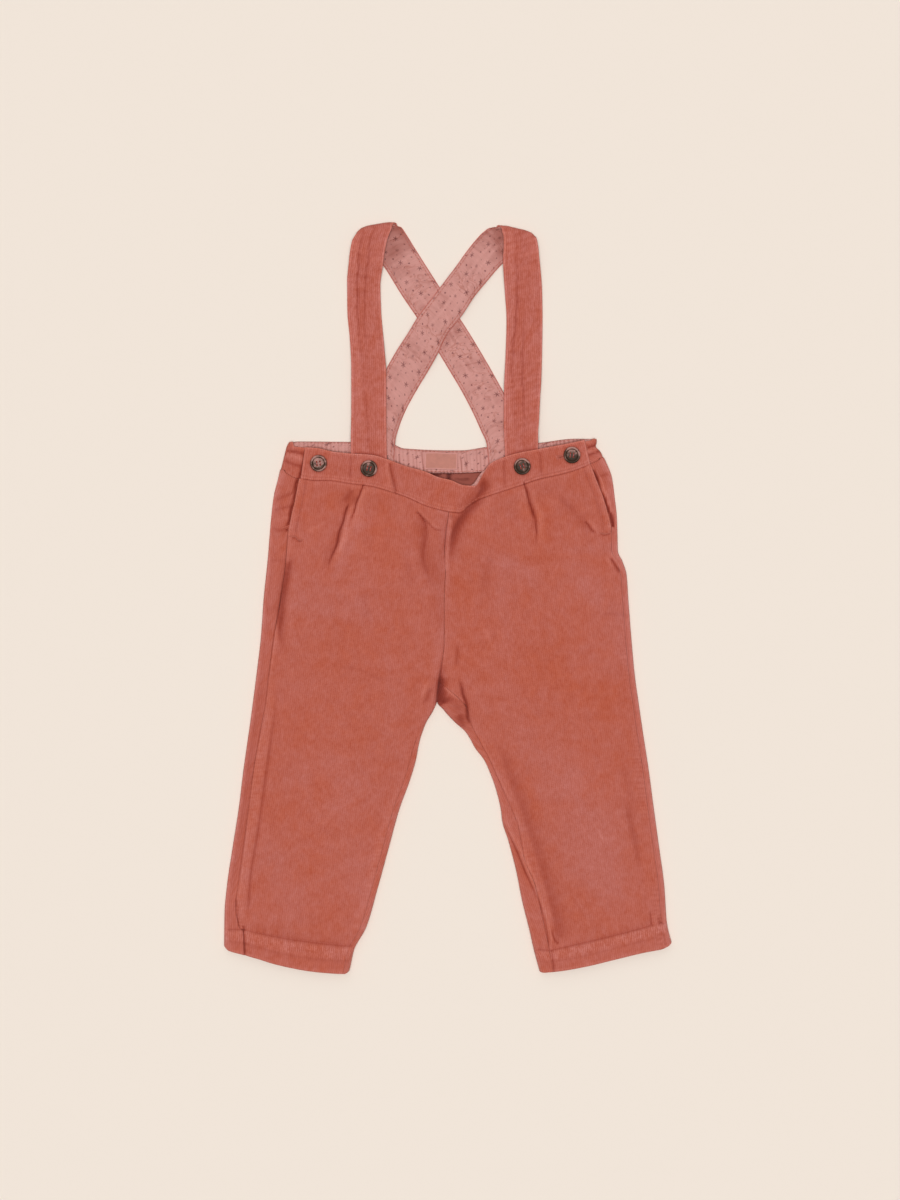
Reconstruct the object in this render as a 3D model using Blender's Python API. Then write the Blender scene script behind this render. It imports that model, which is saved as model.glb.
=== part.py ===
"""Toddler's needlecord trousers with crossed braces, laid flat on their back, front up.

The frame has +X to the right, +Y from hems to waist and +Z up off the surface that the garment
lies on. Left and right are the sides as seen from above. All tables are in millimetres.
"""
import math

import bmesh
import bpy
import numpy as np

MM = 0.001

# Middle of the garment's outline, which becomes the origin
MIDDLE = (0.34, 0.47)

# Cloth
CORD = 1.2
PRINT = 1.0
SEAM = 0.3
HEM_TURN = 1.2

# Heights of the middle of the upper layer
EDGE_Z = 4.3
HEM_Z = 5.8
HEM_RISE = (-250.0, -225.0)
PUFF = 1.3
PUFF_REACH = 14.0
FOLD_RIM = 3.0
FOLD_FLAT_SHARE = 0.8

# Waist stack
BAND_FLOOR_Z = CORD / 2
BAND_WRAP_Z = 5.1
FACING_FLOOR_Z = CORD + SEAM + PRINT / 2
FACING_WRAP_Z = BAND_WRAP_Z - CORD / 2 - SEAM - PRINT / 2
BAND_TO_FACING = CORD / 2 + SEAM + PRINT / 2
WAIST_DROP = 24.0
WAIST_Y = 90.0

# Side openings below the band: the front lies on the back's underlap
OPENING_END = {"left": 47.0, "right": 50.0}
UNDERLAP = 18.0
LAP_BELOW = 3.0
LAP_START = 4.5
LAP_FULL = 10.0
LAP_STEP = 1.75
LAP_STEP_WAIST = 2.9
WRAP_SEAM = 1.0
WRAP_LIFT = (50.0, 88.0)
SIDE_SEAM = 0.5
SEAM_AT_FOLD = 4.6
EDGE_SEAM_TOP = 17.0

# A piece's turn round a fold: the wrap beyond a half-open curl, the least curl that is built,
# and the curl from which the wrap lies down on the upper side
WRAP_MIN = 1.0
CURL_MIN = 0.02
CURL_CLOSES = 0.85

# Fork of the legs
CROTCH = (-8.0, -80.0)
CROTCH_TURN = (-82.0, -77.0)
CURL = {"left": (-74.0, -90.0), "right": (-64.0, -76.0)}

# Braces: the cord lies on one side of a middle surface and the lining on the other
STRAP_GAP = 0.15
SHOULDER_RADIUS = 2.1

# Buttons
BUTTON_RADIUS = 6.35
BUTTON_HOLE_RADIUS = 0.75
BUTTON_HOLE_OUT = 1.75
BUTTON_SEGMENTS = 16
HOLE_SEGMENTS = 6

# Centre front and centre back seam: y, x
CENTRE_SEAM = [
    (125, 0.4), (65, 0.8), (51, -1.1), (34, -2.3), (20, -1.5), (2, -2.4),
    (-32, -2.5), (-56, -5.2), (-75, -7.8), (-80, -8.0),
]

# Centre back seam: y, x
BACK_SEAM = [(125, 0.4), (-64, -6.2), (-80, -8.3)]

# Leg edges from waist to hem: y, x. A fold is where the cloth turns over the edge of the leg,
# a seam is where the front piece meets the back piece on the upper side.
LEG_EDGES = {
    "left": {
        "outer_fold": [
            (97, -127.0), (90, -128.6), (76, -132.1), (60, -134.0), (30, -136.4), (0, -139.5),
            (-30, -141.7), (-60, -145.2), (-80, -147.8), (-100, -150.5), (-130, -154.8),
            (-160, -158.5), (-190, -163.2), (-220, -167.6), (-238, -169.2), (-266, -169.6),
        ],
        "outer_seam": [
            (90, -112.4), (76, -115.1), (60, -118.8), (47, -121.0), (30, -122.4), (0, -126.5),
            (-30, -131.6), (-60, -135.6), (-80, -137.9), (-100, -141.5), (-130, -146.9),
            (-160, -150.9), (-190, -154.7), (-220, -158.8), (-234, -161.5), (-250, -158.6),
            (-266, -162.4),
        ],
        "inner_fold": [
            (-80, -8.2), (-86, -11.0), (-96, -16.7), (-110, -21.4), (-123, -23.9),
            (-140, -29.0), (-160, -36.3), (-190, -44.6), (-220, -52.8), (-250, -61.6),
            (-268, -71.1), (-285, -74.5),
        ],
    },
    "right": {
        "outer_fold": [
            (106, 118.2), (99, 121.5), (90, 124.9), (75, 127.1), (60, 128.7), (35, 129.4),
            (27, 133.0), (17, 136.0), (0, 137.2), (-30, 139.5), (-60, 142.3), (-80, 145.1),
            (-100, 148.0), (-130, 152.6), (-160, 156.6), (-190, 160.7), (-220, 164.7),
            (-246, 166.4), (-263, 170.4),
        ],
        "outer_seam": [
            (100, 108.1), (90, 112.1), (75, 118.2), (60, 122.6), (50, 124.5), (36, 124.3),
            (27, 128.6), (17, 131.4),
        ],
        "inner_fold": [
            (-64, -6.05), (-70, -6.8), (-76, -7.3), (-82, -3.4), (-88, 0.0), (-95, 6.2), (-101, 13.0),
            (-107, 17.1), (-114, 20.9), (-123, 27.7), (-131, 31.5), (-146, 36.9),
            (-161, 40.5), (-170, 41.6), (-184, 46.0), (-207, 52.0), (-230, 56.6),
            (-253, 62.3), (-268, 65.7), (-285, 70.3),
        ],
        "inner_seam": [
            (-64, -6.3), (-73, 4.6), (-78, 10.3), (-83, 14.5), (-96, 18.2), (-109, 24.4),
            (-123, 32.0), (-134, 36.8), (-154, 45.7), (-174, 53.8), (-198, 58.4),
            (-218, 66.5), (-244, 72.4), (-266, 77.1), (-285, 80.2),
        ],
    },
}

# Sections of each leg, from waist to hem: y at its outer edge, y at its inner edge
LEG_SECTIONS = {
    "left": [(90, 65), (2, -12), (-78, -80), (-165, -160), (-252, -265), (-265.5, -285)],
    "right": [(99.7, 65), (12, -16), (-78, -80), (-160, -162), (-247, -268), (-262.5, -284.5)],
}
HEM_LINE = {"left": -252.0, "right": -247.0}
HEM_SAG = {"left": 5.0, "right": 2.4}
HEM_SAG_START = {"left": -243.0, "right": -238.0}
BACK_RISE = 29.0
BACK_RISE_FADE = (-30.0, 65.0)

# How the legs are divided: shares across a front, the sections below the side opening, and
# steps round each fold of a back piece as (round the fold, on the upper side)
FRONT_SHARES = [
    0, .04, .08, .11, .14, .18, .24, .34, .44, .52, .56, .60, .64, .68, .73, .82, .91, 1,
]
WAIST_STEPS = [0, 8, 18, 28]
LEG_YS = [
    36, 31, 26, 19, 5, -16, -40, -58, -64, -68, -71, -74, -77, -80, -83, -87, -94, -106,
    -122, -145, -175, -205, -228,
]
HEM_STEPS = [9, 2.4, 0]
FOLD_STEPS = ((5, 3), (5, 3))
BACK_STEPS = 5

# Front band: x and y on its top edge, x and y on its lower seam
FRONT_BAND = [
    (-107.8, 113.9, -111.1, 90.1),
    (-98.4, 113.2, -99.9, 88.5),
    (-87.4, 110.6, -89.3, 88.5),
    (-74.1, 109.1, -74.1, 86.3),
    (-57.4, 108.0, -57.4, 84.0),
    (-45.2, 104.5, -43.7, 80.2),
    (-32.5, 99.9, -30.5, 75.6),
    (-16.7, 95.4, -17.6, 69.9),
    (-6.5, 91.1, -8.0, 66.9),
    (2.7, 88.9, 0.4, 65.0),
    (12.5, 85.1, 8.7, 64.2),
    (20.6, 84.7, 15.1, 68.8),
    (27.0, 93.9, 23.2, 73.7),
    (31.5, 100.7, 31.5, 76.8),
    (42.9, 106.4, 43.7, 80.9),
    (55.1, 109.8, 57.7, 85.5),
    (67.3, 112.1, 68.8, 89.3),
    (82.8, 115.1, 84.7, 93.1),
    (94.6, 117.4, 96.1, 96.1),
    (103.7, 119.4, 108.1, 101.0),
]
# Height of the front band across the waist: x, z
FRONT_BAND_Z = [
    (-112, 7.9), (-90, 7.9), (-80, 9.4), (-74, 10.3), (-45, 10.3), (-37, 9.2), (-22, 7.5),
    (24, 7.5), (36, 9.0), (43, 10.3), (71, 10.3), (78, 9.2), (87, 7.9), (110, 7.9),
]
FRONT_FACING_INSET = 0.8
BACK_FACING_INSET = 0.9
# Where the band's edge has rolled forward, its facing shows: x, extra height, half-width
FACING_PEEP = (23.4, 5.2, 4.5)

# Back band on the floor: x, y
BACK_BAND_TOP = [
    (-121.5, 118.6), (-74, 118.2), (-46, 119.2), (-38, 115.0), (-33, 113.2), (2, 111.7),
    (12, 111.8), (30, 114.4), (69, 117.4), (97, 120.6), (113, 120.4),
]
BACK_BAND_LOW = [
    (-126.5, 96.9), (-60, 94.5), (2, 94.0), (26, 95.0), (80, 99.0), (118.2, 106.0),
]
# Ends of the back band on the upper side, from the fold inward under the front band: x, y
BACK_BAND_WRAPS = {
    "left": {
        "top": [(-121.5, 117.6), (-108, 114.4), (-92, 111.5)],
        "low": [(-126.5, 96.9), (-113, 90.1), (-92, 89.2)],
    },
    "right": {
        "top": [(113.0, 119.8), (104, 118.3), (86, 114.0)],
        "low": [(118.2, 106.0), (108, 101.2), (86, 95.0)],
    },
}
GATHER_PITCH = 7.5
GATHER_HEIGHT = 0.9
GATHER_FADE = 5.0
# Stretches of the facing that lie flat under a brace or the label: from x, to x
GATHER_FLATS = [(-130, -88), (-72, -36), (-22, 12), (26, 64), (82, 130)]

# Braces from the end behind the front band to the shoulder, then down the back. Each rung has
# x, y of one edge, x, y of the other edge, and the height of the middle surface.
STRAP_RUNGS = {
    "left": {
        "front": [
            (-71.8, 86.7, -44.5, 83.6, 6.75),
            (-73.3, 110.6, -45.8, 106.8, 6.75),
            (-73.3, 122.0, -46.0, 122.0, 6.75),
            (-73.0, 137.2, -46.3, 137.2, 5.3),
            (-73.0, 155.4, -46.3, 153.9, 4.4),
            (-73.0, 173.7, -46.4, 169.9, 4.9),
            (-74.1, 195.7, -48.1, 191.9, 2.6),
            (-76.1, 218.5, -50.3, 217.0, 1.35),
            (-76.2, 239.8, -50.9, 236.7, 2.2),
            (-75.0, 252.7, -50.1, 251.9, 4.4),
            (-73.7, 262.0, -47.5, 262.6, 5.2),
        ],
        "shoulder": (-71.0, 275.5, -38.6, 284.0),
        "back": [
            (-61.9, 265.6, -32.3, 276.2, 1.35),
            (-49.5, 252.9, -24.7, 265.2, 1.35),
            (-34.4, 229.1, -11.0, 243.6, 1.35),
            (-20.1, 207.9, 3.4, 221.2, 1.35),
            (-5.7, 184.3, 17.9, 198.7, 1.35),
            (12.0, 154.5, 35.3, 169.1, 1.35),
            (19.9, 139.1, 45.0, 150.9, 1.35),
            (25.2, 127.3, 51.5, 134.9, 2.0),
            (29.6, 116.7, 55.5, 121.2, 4.15),
            (31.5, 96.9, 57.8, 99.9, 4.15),
        ],
    },
    "right": {
        "front": [
            (44.1, 83.8, 69.9, 91.6, 6.75),
            (43.4, 106.8, 68.8, 112.9, 6.75),
            (42.9, 119.7, 68.8, 124.3, 6.75),
            (42.5, 131.1, 69.5, 134.9, 5.6),
            (42.7, 148.6, 70.3, 151.6, 4.4),
            (42.9, 161.5, 71.1, 163.8, 4.2),
            (44.0, 182.8, 71.8, 184.3, 2.2),
            (44.8, 210.1, 72.2, 210.9, 1.35),
            (43.4, 232.9, 71.8, 233.7, 2.2),
            (42.2, 248.9, 70.5, 249.7, 4.4),
            (41.6, 262.0, 69.2, 261.0, 5.2),
        ],
        "shoulder": (35.8, 282.2, 67.3, 274.6),
        "back": [
            (27.0, 277.6, 59.2, 268.6, 1.35),
            (21.6, 271.8, 50.4, 261.9, 1.35),
            (14.8, 263.3, 41.2, 252.9, 1.6),
            (5.7, 250.4, 28.5, 238.3, 2.8),
            (-1.1, 241.3, 20.5, 228.4, 4.0),
            (-10.3, 229.1, 11.8, 215.1, 4.15),
            (-22.6, 212.8, -0.8, 198.7, 4.15),
            (-30.2, 200.3, -8.7, 186.6, 4.15),
            (-39.1, 186.6, -13.6, 172.2, 3.2),
            (-48.3, 169.9, -21.6, 157.9, 1.6),
            (-55.1, 152.4, -30.2, 142.4, 1.35),
            (-60.4, 135.7, -34.9, 130.0, 1.8),
            (-64.2, 121.2, -39.5, 118.9, 4.15),
            (-65.7, 98.4, -40.7, 98.4, 4.15),
        ],
    },
}
SHOULDER_BOW = {"left": 4.6, "right": 2.0}
BOW_START = 0.9
BOW_END = 0.12
STRAP_TURN_STEPS = 6

# Largest folds of the front: x, y at one end, x, y at the other, height, reach to the left and
# to the right of the line. A pleat is full at its first end, other folds fade at both ends.
PLEATS = [
    (-68.8, 86.0, -89.5, 22.0, 2.6, 2.4, 5.5),
    (60.0, 86.0, 68.5, 47.0, 2.2, 5.0, 2.4),
]
SOFT_FOLDS = [
    (19.4, 64.0, 1.9, 33.0, -1.0, 4.0, 4.0),
    (-24.0, 66.0, -15.6, 23.0, -0.7, 4.0, 4.0),
]

# Label: x of its left and right edge, y of its lower and upper edge
LABEL = (-17.4, 7.4, 97.2, 110.0)

# Buttons: x, y, turn in degrees
BUTTONS = {
    "button_1": (-97.6, 101.5, 8),
    "button_2": (-59.4, 97.5, -12),
    "button_3": (56.5, 99.1, 20),
    "button_4": (94.2, 107.8, -6),
}

# Colours as linear RGB, with roughness
CORD_COLOUR = (0.48, 0.115, 0.075, 1.0)
PRINT_COLOUR = (0.58, 0.26, 0.23, 1.0)
LABEL_COLOUR = (0.52, 0.22, 0.18, 1.0)
BUTTON_COLOUR = (0.06, 0.035, 0.027, 1.0)


def ramp(value, low, high):
    """Smooth step from 0 at low to 1 at high."""
    t = np.clip((np.asarray(value, float) - low) / (high - low), 0.0, 1.0)
    return t * t * (3.0 - 2.0 * t)


def curve(rows):
    """Smooth curve through (t, value) rows that never overshoots them."""
    rows = sorted(rows)
    ts = np.array([row[0] for row in rows], float)
    values = np.array([row[1] for row in rows], float)
    secants = np.diff(values) / np.diff(ts)
    slopes = np.empty(len(ts))
    slopes[0] = secants[0]
    slopes[-1] = secants[-1]
    before = secants[:-1]
    after = secants[1:]
    product = before * after
    total = np.where(product > 0, before + after, 1.0)
    slopes[1:-1] = np.where(product > 0, 2.0 * product / total, 0.0)

    def at(t):
        t = np.clip(np.asarray(t, float), ts[0], ts[-1])
        i = np.clip(np.searchsorted(ts, t, side="right") - 1, 0, len(ts) - 2)
        width = ts[i + 1] - ts[i]
        s = (t - ts[i]) / width
        rise = s * s * (3.0 - 2.0 * s)
        start = s * (1.0 - s) ** 2 * width * slopes[i]
        end = s * s * (s - 1.0) * width * slopes[i + 1]
        return values[i] + (values[i + 1] - values[i]) * rise + start + end

    return at


def columns(rows, first, second):
    """Two columns of a table as (t, value) rows."""
    return [(row[first], row[second]) for row in rows]


centre_x = curve(CENTRE_SEAM)
back_seam_x = curve(BACK_SEAM)
band_low_y = curve(columns(FRONT_BAND, 2, 3))
waist_z = curve(FRONT_BAND_Z)
back_band_low_y = curve(BACK_BAND_LOW)
back_band_top_y = curve(BACK_BAND_TOP)
EDGE = {
    side: {name: curve(rows) for name, rows in edges.items()}
    for side, edges in LEG_EDGES.items()
}
OUTWARD = {"left": -1.0, "right": 1.0}


def starts_at(side, name):
    """Highest y of a leg's edge."""
    return max(row[0] for row in LEG_EDGES[side][name])


def fold_x(side, y):
    """Inner edge of a back piece: the centre back seam, then the inner fold below the fork."""
    gap = OUTWARD[side] * SEAM / 2
    above = y > starts_at(side, "inner_fold")
    return np.where(above, back_seam_x(y) + gap, EDGE[side]["inner_fold"](y))


def inner_seam_x(side, y):
    """Inner edge of a front piece: the centre seam, then the inside leg seam."""
    if side == "right":
        above = y > starts_at(side, "inner_seam")
        return np.where(above, centre_x(y) + SEAM / 2, EDGE[side]["inner_seam"](y))
    edge = np.where(y > CROTCH[1], centre_x(y) - SEAM / 2, EDGE[side]["inner_fold"](y))
    return edge - SEAM_AT_FOLD * (1.0 - ramp(y, *CROTCH_TURN))


def outer_seam_x(side, y):
    """Outer edge of a front piece: the side opening, then the side seam."""
    if side == "left":
        return EDGE[side]["outer_seam"](y)
    at_fold = EDGE[side]["outer_fold"](y) - SEAM_AT_FOLD
    return np.where(y > EDGE_SEAM_TOP, EDGE[side]["outer_seam"](y), at_fold)


def fold_line(x, y, row):
    """Position along and across one fold of the cloth, from its named ends."""
    x0, y0, x1, y1, height, left, right = row
    length = math.hypot(x1 - x0, y1 - y0)
    ux = (x1 - x0) / length
    uy = (y1 - y0) / length
    along = ((x - x0) * ux + (y - y0) * uy) / length
    across = (y - y0) * ux - (x - x0) * uy
    reach = np.where(across < 0, left, right)
    return along, height * np.exp(-(across / reach) ** 2)


def folds(x, y):
    """Height that the pleats and soft folds add to the front."""
    total = np.zeros_like(np.asarray(x, float))
    for row in PLEATS:
        along, profile = fold_line(x, y, row)
        total = total + profile * (1.0 - ramp(along, 0.15, 1.0)) * ramp(along, -0.25, 0.0)
    for row in SOFT_FOLDS:
        along, profile = fold_line(x, y, row)
        total = total + profile * ramp(along, -0.1, 0.3) * (1.0 - ramp(along, 0.7, 1.1))
    return total


def swell(distance):
    """Share of the full puff at a distance from the edge of the leg."""
    return 1.0 - np.exp(-(np.maximum(distance - FOLD_RIM, 0.0) / PUFF_REACH) ** 2)


def over_z(side, x, y):
    """Height of the middle of the upper layer of cloth."""
    x = np.asarray(x, float)
    y = np.asarray(y, float)
    out = OUTWARD[side]
    from_outer = out * (EDGE[side]["outer_fold"](y) - x)
    fork = np.hypot(x - CROTCH[0], y - CROTCH[1])
    from_inner = np.where(y > CROTCH[1], fork, out * (x - fold_x(side, y)))
    edge = EDGE_Z + (HEM_Z - EDGE_Z) * (1.0 - ramp(y, *HEM_RISE))
    leg = edge + PUFF * swell(from_outer) * swell(from_inner)
    waist = ramp(y - band_low_y(x), -WAIST_DROP, 0.0)
    creases = folds(x, y) * swell(from_outer) * (1.0 - FOLD_FLAT_SHARE * waist)
    return leg * (1.0 - waist) + waist_z(x) * waist + creases


def under_z(side, x, y):
    """Height of the back piece where it comes over on to the front."""
    end = OPENING_END[side]
    step = LAP_STEP * ramp(y, end - LAP_BELOW, end + LAP_START)
    step = step + (LAP_STEP_WAIST - LAP_STEP) * ramp(y, end + LAP_START, WAIST_Y)
    return over_z(side, x, y) - step


def half_section(fold, tip, away, floor_z, height, curl, wall_out, counts):
    """Points from the floor round a fold to the tip that lies on the upper side."""
    arc_count, wrap_count = counts
    radius = (float(height(fold[0], fold[1])) - floor_z) / 2
    curl = max(curl, CURL_MIN)
    bend = radius / curl
    turn = math.pi * curl
    lean = min(turn, math.pi / 2)
    reach = bend * math.sin(lean) + wall_out * math.sin(lean)
    reach += WRAP_MIN * max(math.cos(turn), 0.0)
    centre = np.array(fold) - away * reach
    points = [(centre[0], centre[1], floor_z)]
    for step in range(1, arc_count + 1):
        angle = turn * step / arc_count
        spot = centre + away * bend * math.sin(angle)
        points.append((spot[0], spot[1], floor_z + bend * (1.0 - math.cos(angle))))
    end = np.array(points[-1])
    ahead = np.array([*(away * math.cos(turn)), math.sin(turn)]) * WRAP_MIN
    closed = float(ramp(curl, CURL_CLOSES, 1.0))
    for step in range(1, wrap_count + 1):
        share = step / wrap_count
        free = end + ahead * share
        flat = centre + (np.array(tip) - centre) * share
        laid = np.array([flat[0], flat[1], float(height(flat[0], flat[1]))])
        points.append(tuple(free * (1.0 - closed) + laid * closed))
    return points


def section(first, second, floor_z, wall_out, counts, floor_count):
    """One section of a piece that lies on the floor and turns over at both ends.

    first and second each have fold, tip, height and curl.
    """
    across = np.array(second["fold"]) - np.array(first["fold"])
    along = across / np.linalg.norm(across)
    halves = []
    for end, away in ((first, -along), (second, along)):
        halves.append(half_section(end["fold"], end["tip"], away, floor_z, end["height"],
                                   end["curl"], wall_out, counts[len(halves)]))
    start = np.array(halves[0][0])
    stop = np.array(halves[1][0])
    floor = [tuple(start + (stop - start) * k / floor_count) for k in range(1, floor_count)]
    return halves[0][::-1] + floor + halves[1]


def leg_rows(side, outer_ys):
    """Pairs of y at the outer and the inner edge for each section of a leg."""
    inner_y = curve(LEG_SECTIONS[side])
    return [(float(y), float(inner_y(y))) for y in outer_ys]


def front_grid(side, outer_ys, shares):
    """Middle surface of a front piece. shares run from its inner to its outer edge."""
    shares = np.asarray(shares)
    rows = leg_rows(side, outer_ys)
    grid = np.empty((len(rows), len(shares), 3))
    top = None
    for i, (outer_y, inner_y) in enumerate(rows):
        x0 = float(inner_seam_x(side, inner_y))
        x1 = float(outer_seam_x(side, outer_y))
        x = x0 + (x1 - x0) * shares
        y = inner_y + (outer_y - inner_y) * shares
        if top is None:
            top = band_low_y(x) - SIDE_SEAM - y
        y = y + top * ramp(outer_y, OPENING_END[side] + LAP_START, outer_ys[0])
        sag = HEM_SAG[side] * (1.0 - ramp(outer_y, outer_ys[-1], HEM_SAG_START[side]))
        y = y - sag * np.sin(math.pi * shares)
        grid[i, :, 0] = x
        grid[i, :, 1] = y
        grid[i, :, 2] = over_z(side, x, y)
    return grid


def hem_depth(side, outer_ys):
    """Extra wall inside the hem for each section."""
    return np.array([HEM_TURN if y <= HEM_LINE[side] else 0.0 for y in outer_ys])


def back_grid(side, outer_ys, counts, floor_count):
    """Middle surface of a back piece, from its inner tip over the floor to its outer tip."""
    out = OUTWARD[side]
    end = OPENING_END[side]
    wrap_low = curve(BACK_BAND_WRAPS[side]["low"])
    band_end = FRONT_BAND[0 if side == "left" else -1]
    wrap_lift = BACK_BAND_WRAPS[side]["low"][0][1] - band_end[3]
    rows = leg_rows(side, outer_ys)
    grid = []
    for outer_y, inner_y in rows:
        fold_in_y = inner_y + BACK_RISE * float(ramp(inner_y, *BACK_RISE_FADE))
        fold_out_y = outer_y + wrap_lift * float(ramp(outer_y, *WRAP_LIFT))
        lap = UNDERLAP * float(ramp(outer_y, end + LAP_START, end + LAP_FULL))
        seam_out = float(outer_seam_x(side, outer_y)) + out * (SIDE_SEAM - lap)
        seam_in = float(inner_seam_x(side, inner_y)) - out * SIDE_SEAM
        fold_in = float(fold_x(side, fold_in_y))
        inner = {
            "fold": (fold_in, fold_in_y),
            "tip": (seam_in, inner_y),
            "height": lambda x, y: over_z(side, x, y),
            "curl": float(1.0 - ramp(fold_in_y, CURL[side][1], CURL[side][0])),
        }
        outer = {
            "fold": (float(EDGE[side]["outer_fold"](fold_out_y)), fold_out_y),
            "tip": (seam_out, outer_y),
            "height": lambda x, y: under_z(side, x, y),
            "curl": 1.0,
        }
        grid.append(section(inner, outer, CORD / 2, CORD / 2, counts, floor_count))
    grid = np.array(grid)
    wrap_columns = counts[1][1]
    x = grid[0, :, 0]
    target = back_band_low_y(x) - SEAM
    target[-wrap_columns:] = wrap_low(x[-wrap_columns:]) - WRAP_SEAM
    shift = target - grid[0, :, 1]
    fade = ramp(outer_ys, end + LAP_START, outer_ys[0])
    grid[:, :, 1] += fade[:, None] * shift[None, :]
    inner_columns = sum(counts[0]) + 1
    across = np.clip((np.arange(grid.shape[1]) - inner_columns) / floor_count, 0.0, 1.0)
    sag = HEM_SAG[side] * (1.0 - ramp(outer_ys, outer_ys[-1], HEM_SAG_START[side]))
    grid[:, :, 1] -= sag[:, None] * np.sin(math.pi * across)[None, :]
    return grid


def back_band_grid(floor_z, wrap_z, inset, edge_inset, wall_out, counts, floor_count, shares):
    """Middle surface of the back band or its facing, from its lower to its top edge."""
    grid = []
    for share in shares:
        ends = []
        for side in ("left", "right"):
            out = OUTWARD[side]
            wraps = BACK_BAND_WRAPS[side]
            low = wraps["low"]
            top = wraps["top"]
            lower = np.array(low[0]) + np.array([-out * inset, edge_inset])
            upper = np.array(top[0]) + np.array([-out * inset, -edge_inset])
            fold = lower + (upper - lower) * share
            tip_low = np.array(low[-1]) + np.array([0, edge_inset])
            tip_top = np.array(top[-1]) + np.array([0, -edge_inset])
            tip = tip_low + (tip_top - tip_low) * share
            ends.append({
                "fold": tuple(fold), "tip": tuple(tip), "curl": 1.0,
                "height": lambda x, y: wrap_z,
            })
        row = np.array(section(ends[0], ends[1], floor_z, wall_out, counts, floor_count))
        x = row[:, 0]
        lower = back_band_low_y(x) + edge_inset
        upper = back_band_top_y(x) - edge_inset
        wrap = counts[0][1]
        for side, part in (("left", slice(0, wrap)), ("right", slice(-wrap, None))):
            lower[part] = curve(BACK_BAND_WRAPS[side]["low"])(x[part]) + edge_inset
            upper[part] = curve(BACK_BAND_WRAPS[side]["top"])(x[part]) - edge_inset
        row[:, 1] = lower + (upper - lower) * share
        grid.append(row)
    return np.array(grid)


def gathers(x):
    """Height of the gathers in the elasticated facing, flat under braces and label."""
    flat = np.zeros_like(x)
    for start, stop in GATHER_FLATS:
        after_start = ramp(x, start - GATHER_FADE, start)
        flat = np.maximum(flat, after_start * (1.0 - ramp(x, stop, stop + GATHER_FADE)))
    wave = 0.5 - 0.5 * np.cos(2 * math.pi * x / GATHER_PITCH)
    return GATHER_HEIGHT * wave * (1.0 - flat)


def front_band_grid(stations, shares, low_inset, top_inset, peep):
    """Middle surface of the front band or its facing, from its lower seam to its top edge."""
    index = np.arange(len(FRONT_BAND))
    at = [curve(list(zip(index, [row[k] for row in FRONT_BAND]))) for k in range(4)]
    grid = np.empty((len(shares), len(stations), 3))
    top_x, top_y, low_x, low_y = (f(stations) for f in at)
    ends = (np.clip(1.0 - 2.0 * stations / index[-1], -1, 1)) ** 9 * top_inset
    bump = FACING_PEEP[1] * np.exp(-((top_x - FACING_PEEP[0]) / FACING_PEEP[2]) ** 2)
    top_y = top_y - top_inset + (bump if peep else 0.0)
    low_y = low_y + low_inset
    for i, share in enumerate(shares):
        x = low_x + (top_x - low_x) * share + ends
        y = low_y + (top_y - low_y) * share
        grid[i, :, 0] = x
        grid[i, :, 1] = y
        grid[i, :, 2] = waist_z(x)
    return grid


def strap_grid(side, per_rung, turn_count, shares):
    """Middle surface of a brace, from its front end over the shoulder to its back end."""
    table = STRAP_RUNGS[side]
    shares = np.asarray(shares)
    bow = 1.0 - np.abs(2.0 * shares - 1.0) ** 3

    def rungs(rows):
        index = np.arange(len(rows))
        at = [curve(list(zip(index, [row[k] for row in rows]))) for k in range(5)]
        steps = np.linspace(0, len(rows) - 1, per_rung * (len(rows) - 1) + 1)
        return np.stack([f(steps) for f in at], axis=1)

    def spread(rung, rise):
        ax, ay, bx, by, z = rung
        x = ax + (bx - ax) * shares
        y = ay + (by - ay) * shares + rise * bow
        return np.stack([x, y, np.full(len(shares), z)], axis=1)

    ax, ay, bx, by = table["shoulder"]
    length = math.hypot(bx - ax, by - ay)
    away = np.array([-(by - ay), bx - ax]) / length
    low_z = table["back"][0][4]
    inset = away * (SHOULDER_RADIUS + STRAP_GAP + CORD)
    centre_rung = (ax - inset[0], ay - inset[1], bx - inset[0], by - inset[1])
    front = rungs(table["front"] + [centre_rung + (low_z + 2 * SHOULDER_RADIUS,)])
    back = rungs([centre_rung + (low_z,)] + table["back"])
    rows = []
    for k, rung in enumerate(front):
        share = float(ramp(k / (len(front) - 1), BOW_START, 1.0))
        rows.append(spread(rung, SHOULDER_BOW[side] * share))
    crease = spread(centre_rung + (low_z + SHOULDER_RADIUS,), SHOULDER_BOW[side])
    for k in range(1, turn_count):
        angle = math.pi * k / turn_count
        row = crease.copy()
        row[:, :2] += away * SHOULDER_RADIUS * math.sin(angle)
        row[:, 2] += SHOULDER_RADIUS * math.cos(angle)
        rows.append(row)
    for k, rung in enumerate(back):
        share = 1.0 - float(ramp(k / (len(back) - 1), 0.0, BOW_END))
        rows.append(spread(rung, SHOULDER_BOW[side] * share))
    return np.array(rows)


def normals(grid):
    """Unit normals of a grid of points."""
    down = np.gradient(grid, axis=0)
    across = np.gradient(grid, axis=1)
    normal = np.cross(across, down)
    return normal / np.linalg.norm(normal, axis=2, keepdims=True)


def material(name, colour, roughness):
    """Plain Principled material."""
    made = bpy.data.materials.new(name)
    made.use_nodes = True
    shader = made.node_tree.nodes["Principled BSDF"]
    shader.inputs["Base Color"].default_value = colour
    shader.inputs["Roughness"].default_value = roughness
    shader.inputs["Metallic"].default_value = 0.0
    return made


def add_object(name, mesh, colour, roughness):
    """Link a mesh as a named object with its own material."""
    made = bpy.data.objects.new(name, mesh)
    bpy.context.scene.collection.objects.link(made)
    if not mesh.materials:
        mesh.materials.append(material(name, colour, roughness))
    return made


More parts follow.
